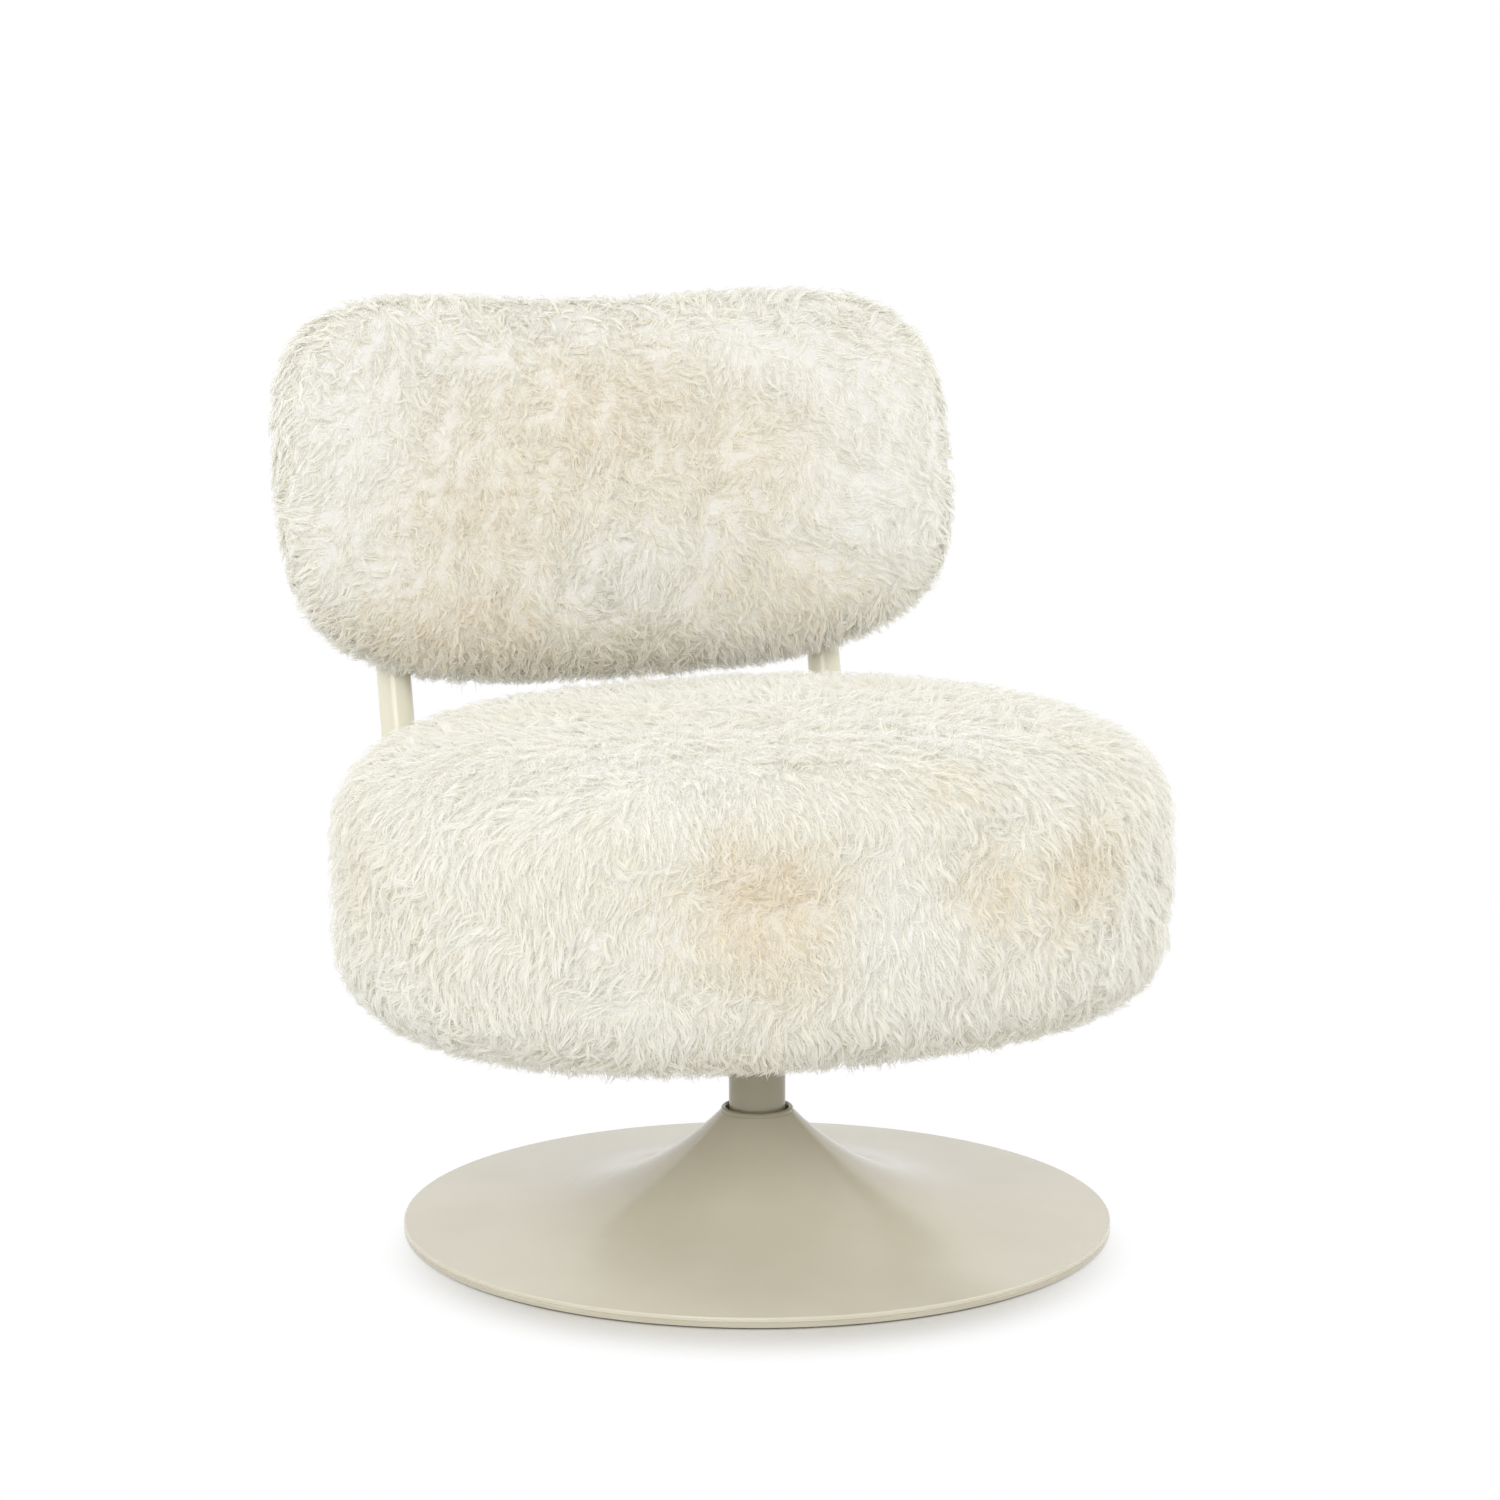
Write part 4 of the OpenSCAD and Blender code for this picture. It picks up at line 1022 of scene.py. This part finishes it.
class LOUNGE_OT_back(bpy.types.Operator):
    """Makes the back cushion: a puffed sheepskin pad and its wool."""

    bl_idname = "lounge.back"
    bl_label = "Back cushion"

    def execute(self, context):
        wish = context.scene.lounge_fleece
        pad = puffed("back_pad", BackForm, BACK_PAD_INSET, BACK_PAD_SWELL)
        pad.data.materials.append(sheepskin_hide(wish.cream, wish.warm))
        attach(pad, "seat")
        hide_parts("back_cover_front", "back_cover_rear")
        wool = bpy.data.materials.get("sheepskin_wool") or sheepskin_wool(wish)
        for piece in fleece("back_wool", BackForm, wish, wish.back_strands, wish.back_depth, BACK_SEED, False):
            piece.data.materials.append(wool)
            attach(piece, "seat")
        return {"FINISHED"}


class LOUNGE_OT_stage(bpy.types.Operator):
    """Sets up the white floor, soft lights and the camera."""

    bl_idname = "lounge.stage"
    bl_label = "Studio"

    def execute(self, context):
        scene = context.scene
        wish = scene.lounge_studio
        mesh = bpy.data.meshes.new("studio_floor")
        corners = [(x * FLOOR_HALF, y * FLOOR_HALF, 0.0) for x, y in ((-1, -1), (1, -1), (1, 1), (-1, 1))]
        mesh.from_pydata(corners, [], [(0, 1, 2, 3)])
        placed("studio_floor", mesh)
        material = bpy.data.materials.new("white_paper_floor")
        tree = emptied(material)
        # seamless white paper: near the foot a darker, warm paper takes the chair's real shade inside a painted shade
        # circle set off towards the front, and beyond it plain white
        paper = add(tree, "ShaderNodeBsdfDiffuse", {"Color": paint("#eeeeec")})
        # painted shade: the paper near the foot is darker and warmer than the white beyond
        shaded = add(tree, "ShaderNodeBsdfDiffuse", {"Color": (0.64, 0.63, 0.60, 1)})
        white = add(tree, "ShaderNodeEmission", {"Color": (1, 1, 1, 1), "Strength": 1.0})
        place = add(tree, "ShaderNodeTexCoord")
        moved = add(tree, "ShaderNodeVectorMath", {0: (place, "Object"), 1: SHADE_MIDDLE}, operation="SUBTRACT")
        away = add(tree, "ShaderNodeVectorMath", {0: (moved, "Vector")}, operation="LENGTH")
        fade = add(
            tree, "ShaderNodeMapRange",
            {"Value": (away, "Value"), "From Min": wish.shadow - SHADE_EDGE, "From Max": wish.shadow},
            interpolation_type="SMOOTHSTEP",
        )
        front = add(tree, "ShaderNodeMixShader", {0: (fade, "Result"), 1: (shaded, "BSDF"), 2: (white, "Emission")})
        looks = seen(tree)
        mixed = add(tree, "ShaderNodeMixShader", {0: (looks, "Value"), 1: (paper, "BSDF"), 2: (front, "Shader")})
        add(tree, "ShaderNodeOutputMaterial", {"Surface": (mixed, "Shader")})
        mesh.materials.append(material)

        world = bpy.data.worlds.new("studio_sky")
        scene.world = world
        tree = emptied(world)
        looks = seen(tree)
        # a light tent: dim near the horizon, brightest about 25 degrees up, softer overhead
        way = add(tree, "ShaderNodeTexCoord")
        parts = add(tree, "ShaderNodeSeparateXYZ", {"Vector": (way, "Generated")})
        tent = stops(
            add(tree, "ShaderNodeValToRGB", {"Fac": (parts, "Z")}),
            (0.10, "#808080"), (0.38, "#ffffff"), (0.65, "#d6d6d6"), (1.0, "#a8a8a8"),
        )
        light = add(tree, "ShaderNodeBackground", {"Color": (tent, "Color"), "Strength": wish.sky})
        white = add(tree, "ShaderNodeBackground", {"Color": (1, 1, 1, 1), "Strength": 1.0})
        mixed = add(
            tree, "ShaderNodeMixShader", {0: (looks, "Value"), 1: (light, "Background"), 2: (white, "Background")}
        )
        add(tree, "ShaderNodeOutputWorld", {"Surface": (mixed, "Shader")})

        for name, size, power, place in (
            ("softbox_left", 0.9, wish.left, (-1.81, 0.86, 2.1)),
            ("softbox_right", 1.2, wish.right, (2.1, -0.9, 1.5)),
            ("softbox_front", 1.5, wish.front, (-1.8, -2.25, 1.60)),
        ):
            lamp = bpy.data.lights.new(name, "AREA")
            lamp.shape = "SQUARE"
            lamp.size = size
            lamp.energy = power
            holder = placed(name, lamp)
            holder.location = place
            holder.rotation_mode = "QUATERNION"
            holder.rotation_quaternion = (Vector(LAMPS_AIM) - Vector(place)).to_track_quat("-Z", "Y")

        lens = bpy.data.cameras.new("camera")
        lens.sensor_width = CAMERA_SENSOR_MM
        lens.sensor_fit = "HORIZONTAL"
        lens.lens = CAMERA_LENS_MM
        lens.clip_start, lens.clip_end = 0.1, 60.0
        camera = placed("camera", lens)
        camera.location = CAMERA_PLACE
        camera.rotation_euler = CAMERA_TURN
        scene.camera = camera
        scene.view_settings.view_transform = "Standard"
        return {"FINISHED"}


class LOUNGE_PT_panel(bpy.types.Panel):
    """Lists the chair's settings and steps."""

    bl_idname = "LOUNGE_PT_panel"
    bl_label = "Swivel lounge chair"
    bl_space_type = "VIEW_3D"
    bl_region_type = "UI"
    bl_category = "Chair"

    def draw(self, context):
        for group in (context.scene.lounge_fleece, context.scene.lounge_paint, context.scene.lounge_studio):
            box = self.layout.box()
            for name in type(group).__annotations__:
                box.prop(group, name)
        for step in STEPS:
            self.layout.operator(step.bl_idname)


STEPS = (LOUNGE_OT_foot, LOUNGE_OT_tubes, LOUNGE_OT_fittings, LOUNGE_OT_seat, LOUNGE_OT_back, LOUNGE_OT_stage)
GROUPS = {"lounge_fleece": FleeceSettings, "lounge_paint": PaintSettings, "lounge_studio": StudioSettings}
CLASSES = (*GROUPS.values(), *STEPS, LOUNGE_PT_panel)


def register():
    for item in CLASSES:
        bpy.utils.register_class(item)
    for name, group in GROUPS.items():
        setattr(bpy.types.Scene, name, bpy.props.PointerProperty(type=group))


def unregister():
    for name in GROUPS:
        delattr(bpy.types.Scene, name)
    for item in reversed(CLASSES):
        bpy.utils.unregister_class(item)


def main():
    register()
    bpy.ops.lounge.foot()
    bpy.ops.lounge.tubes()
    bpy.ops.lounge.fittings()
    bpy.ops.lounge.seat()
    bpy.ops.lounge.back()
    bpy.ops.lounge.stage()


if __name__ == "__main__":
    main()
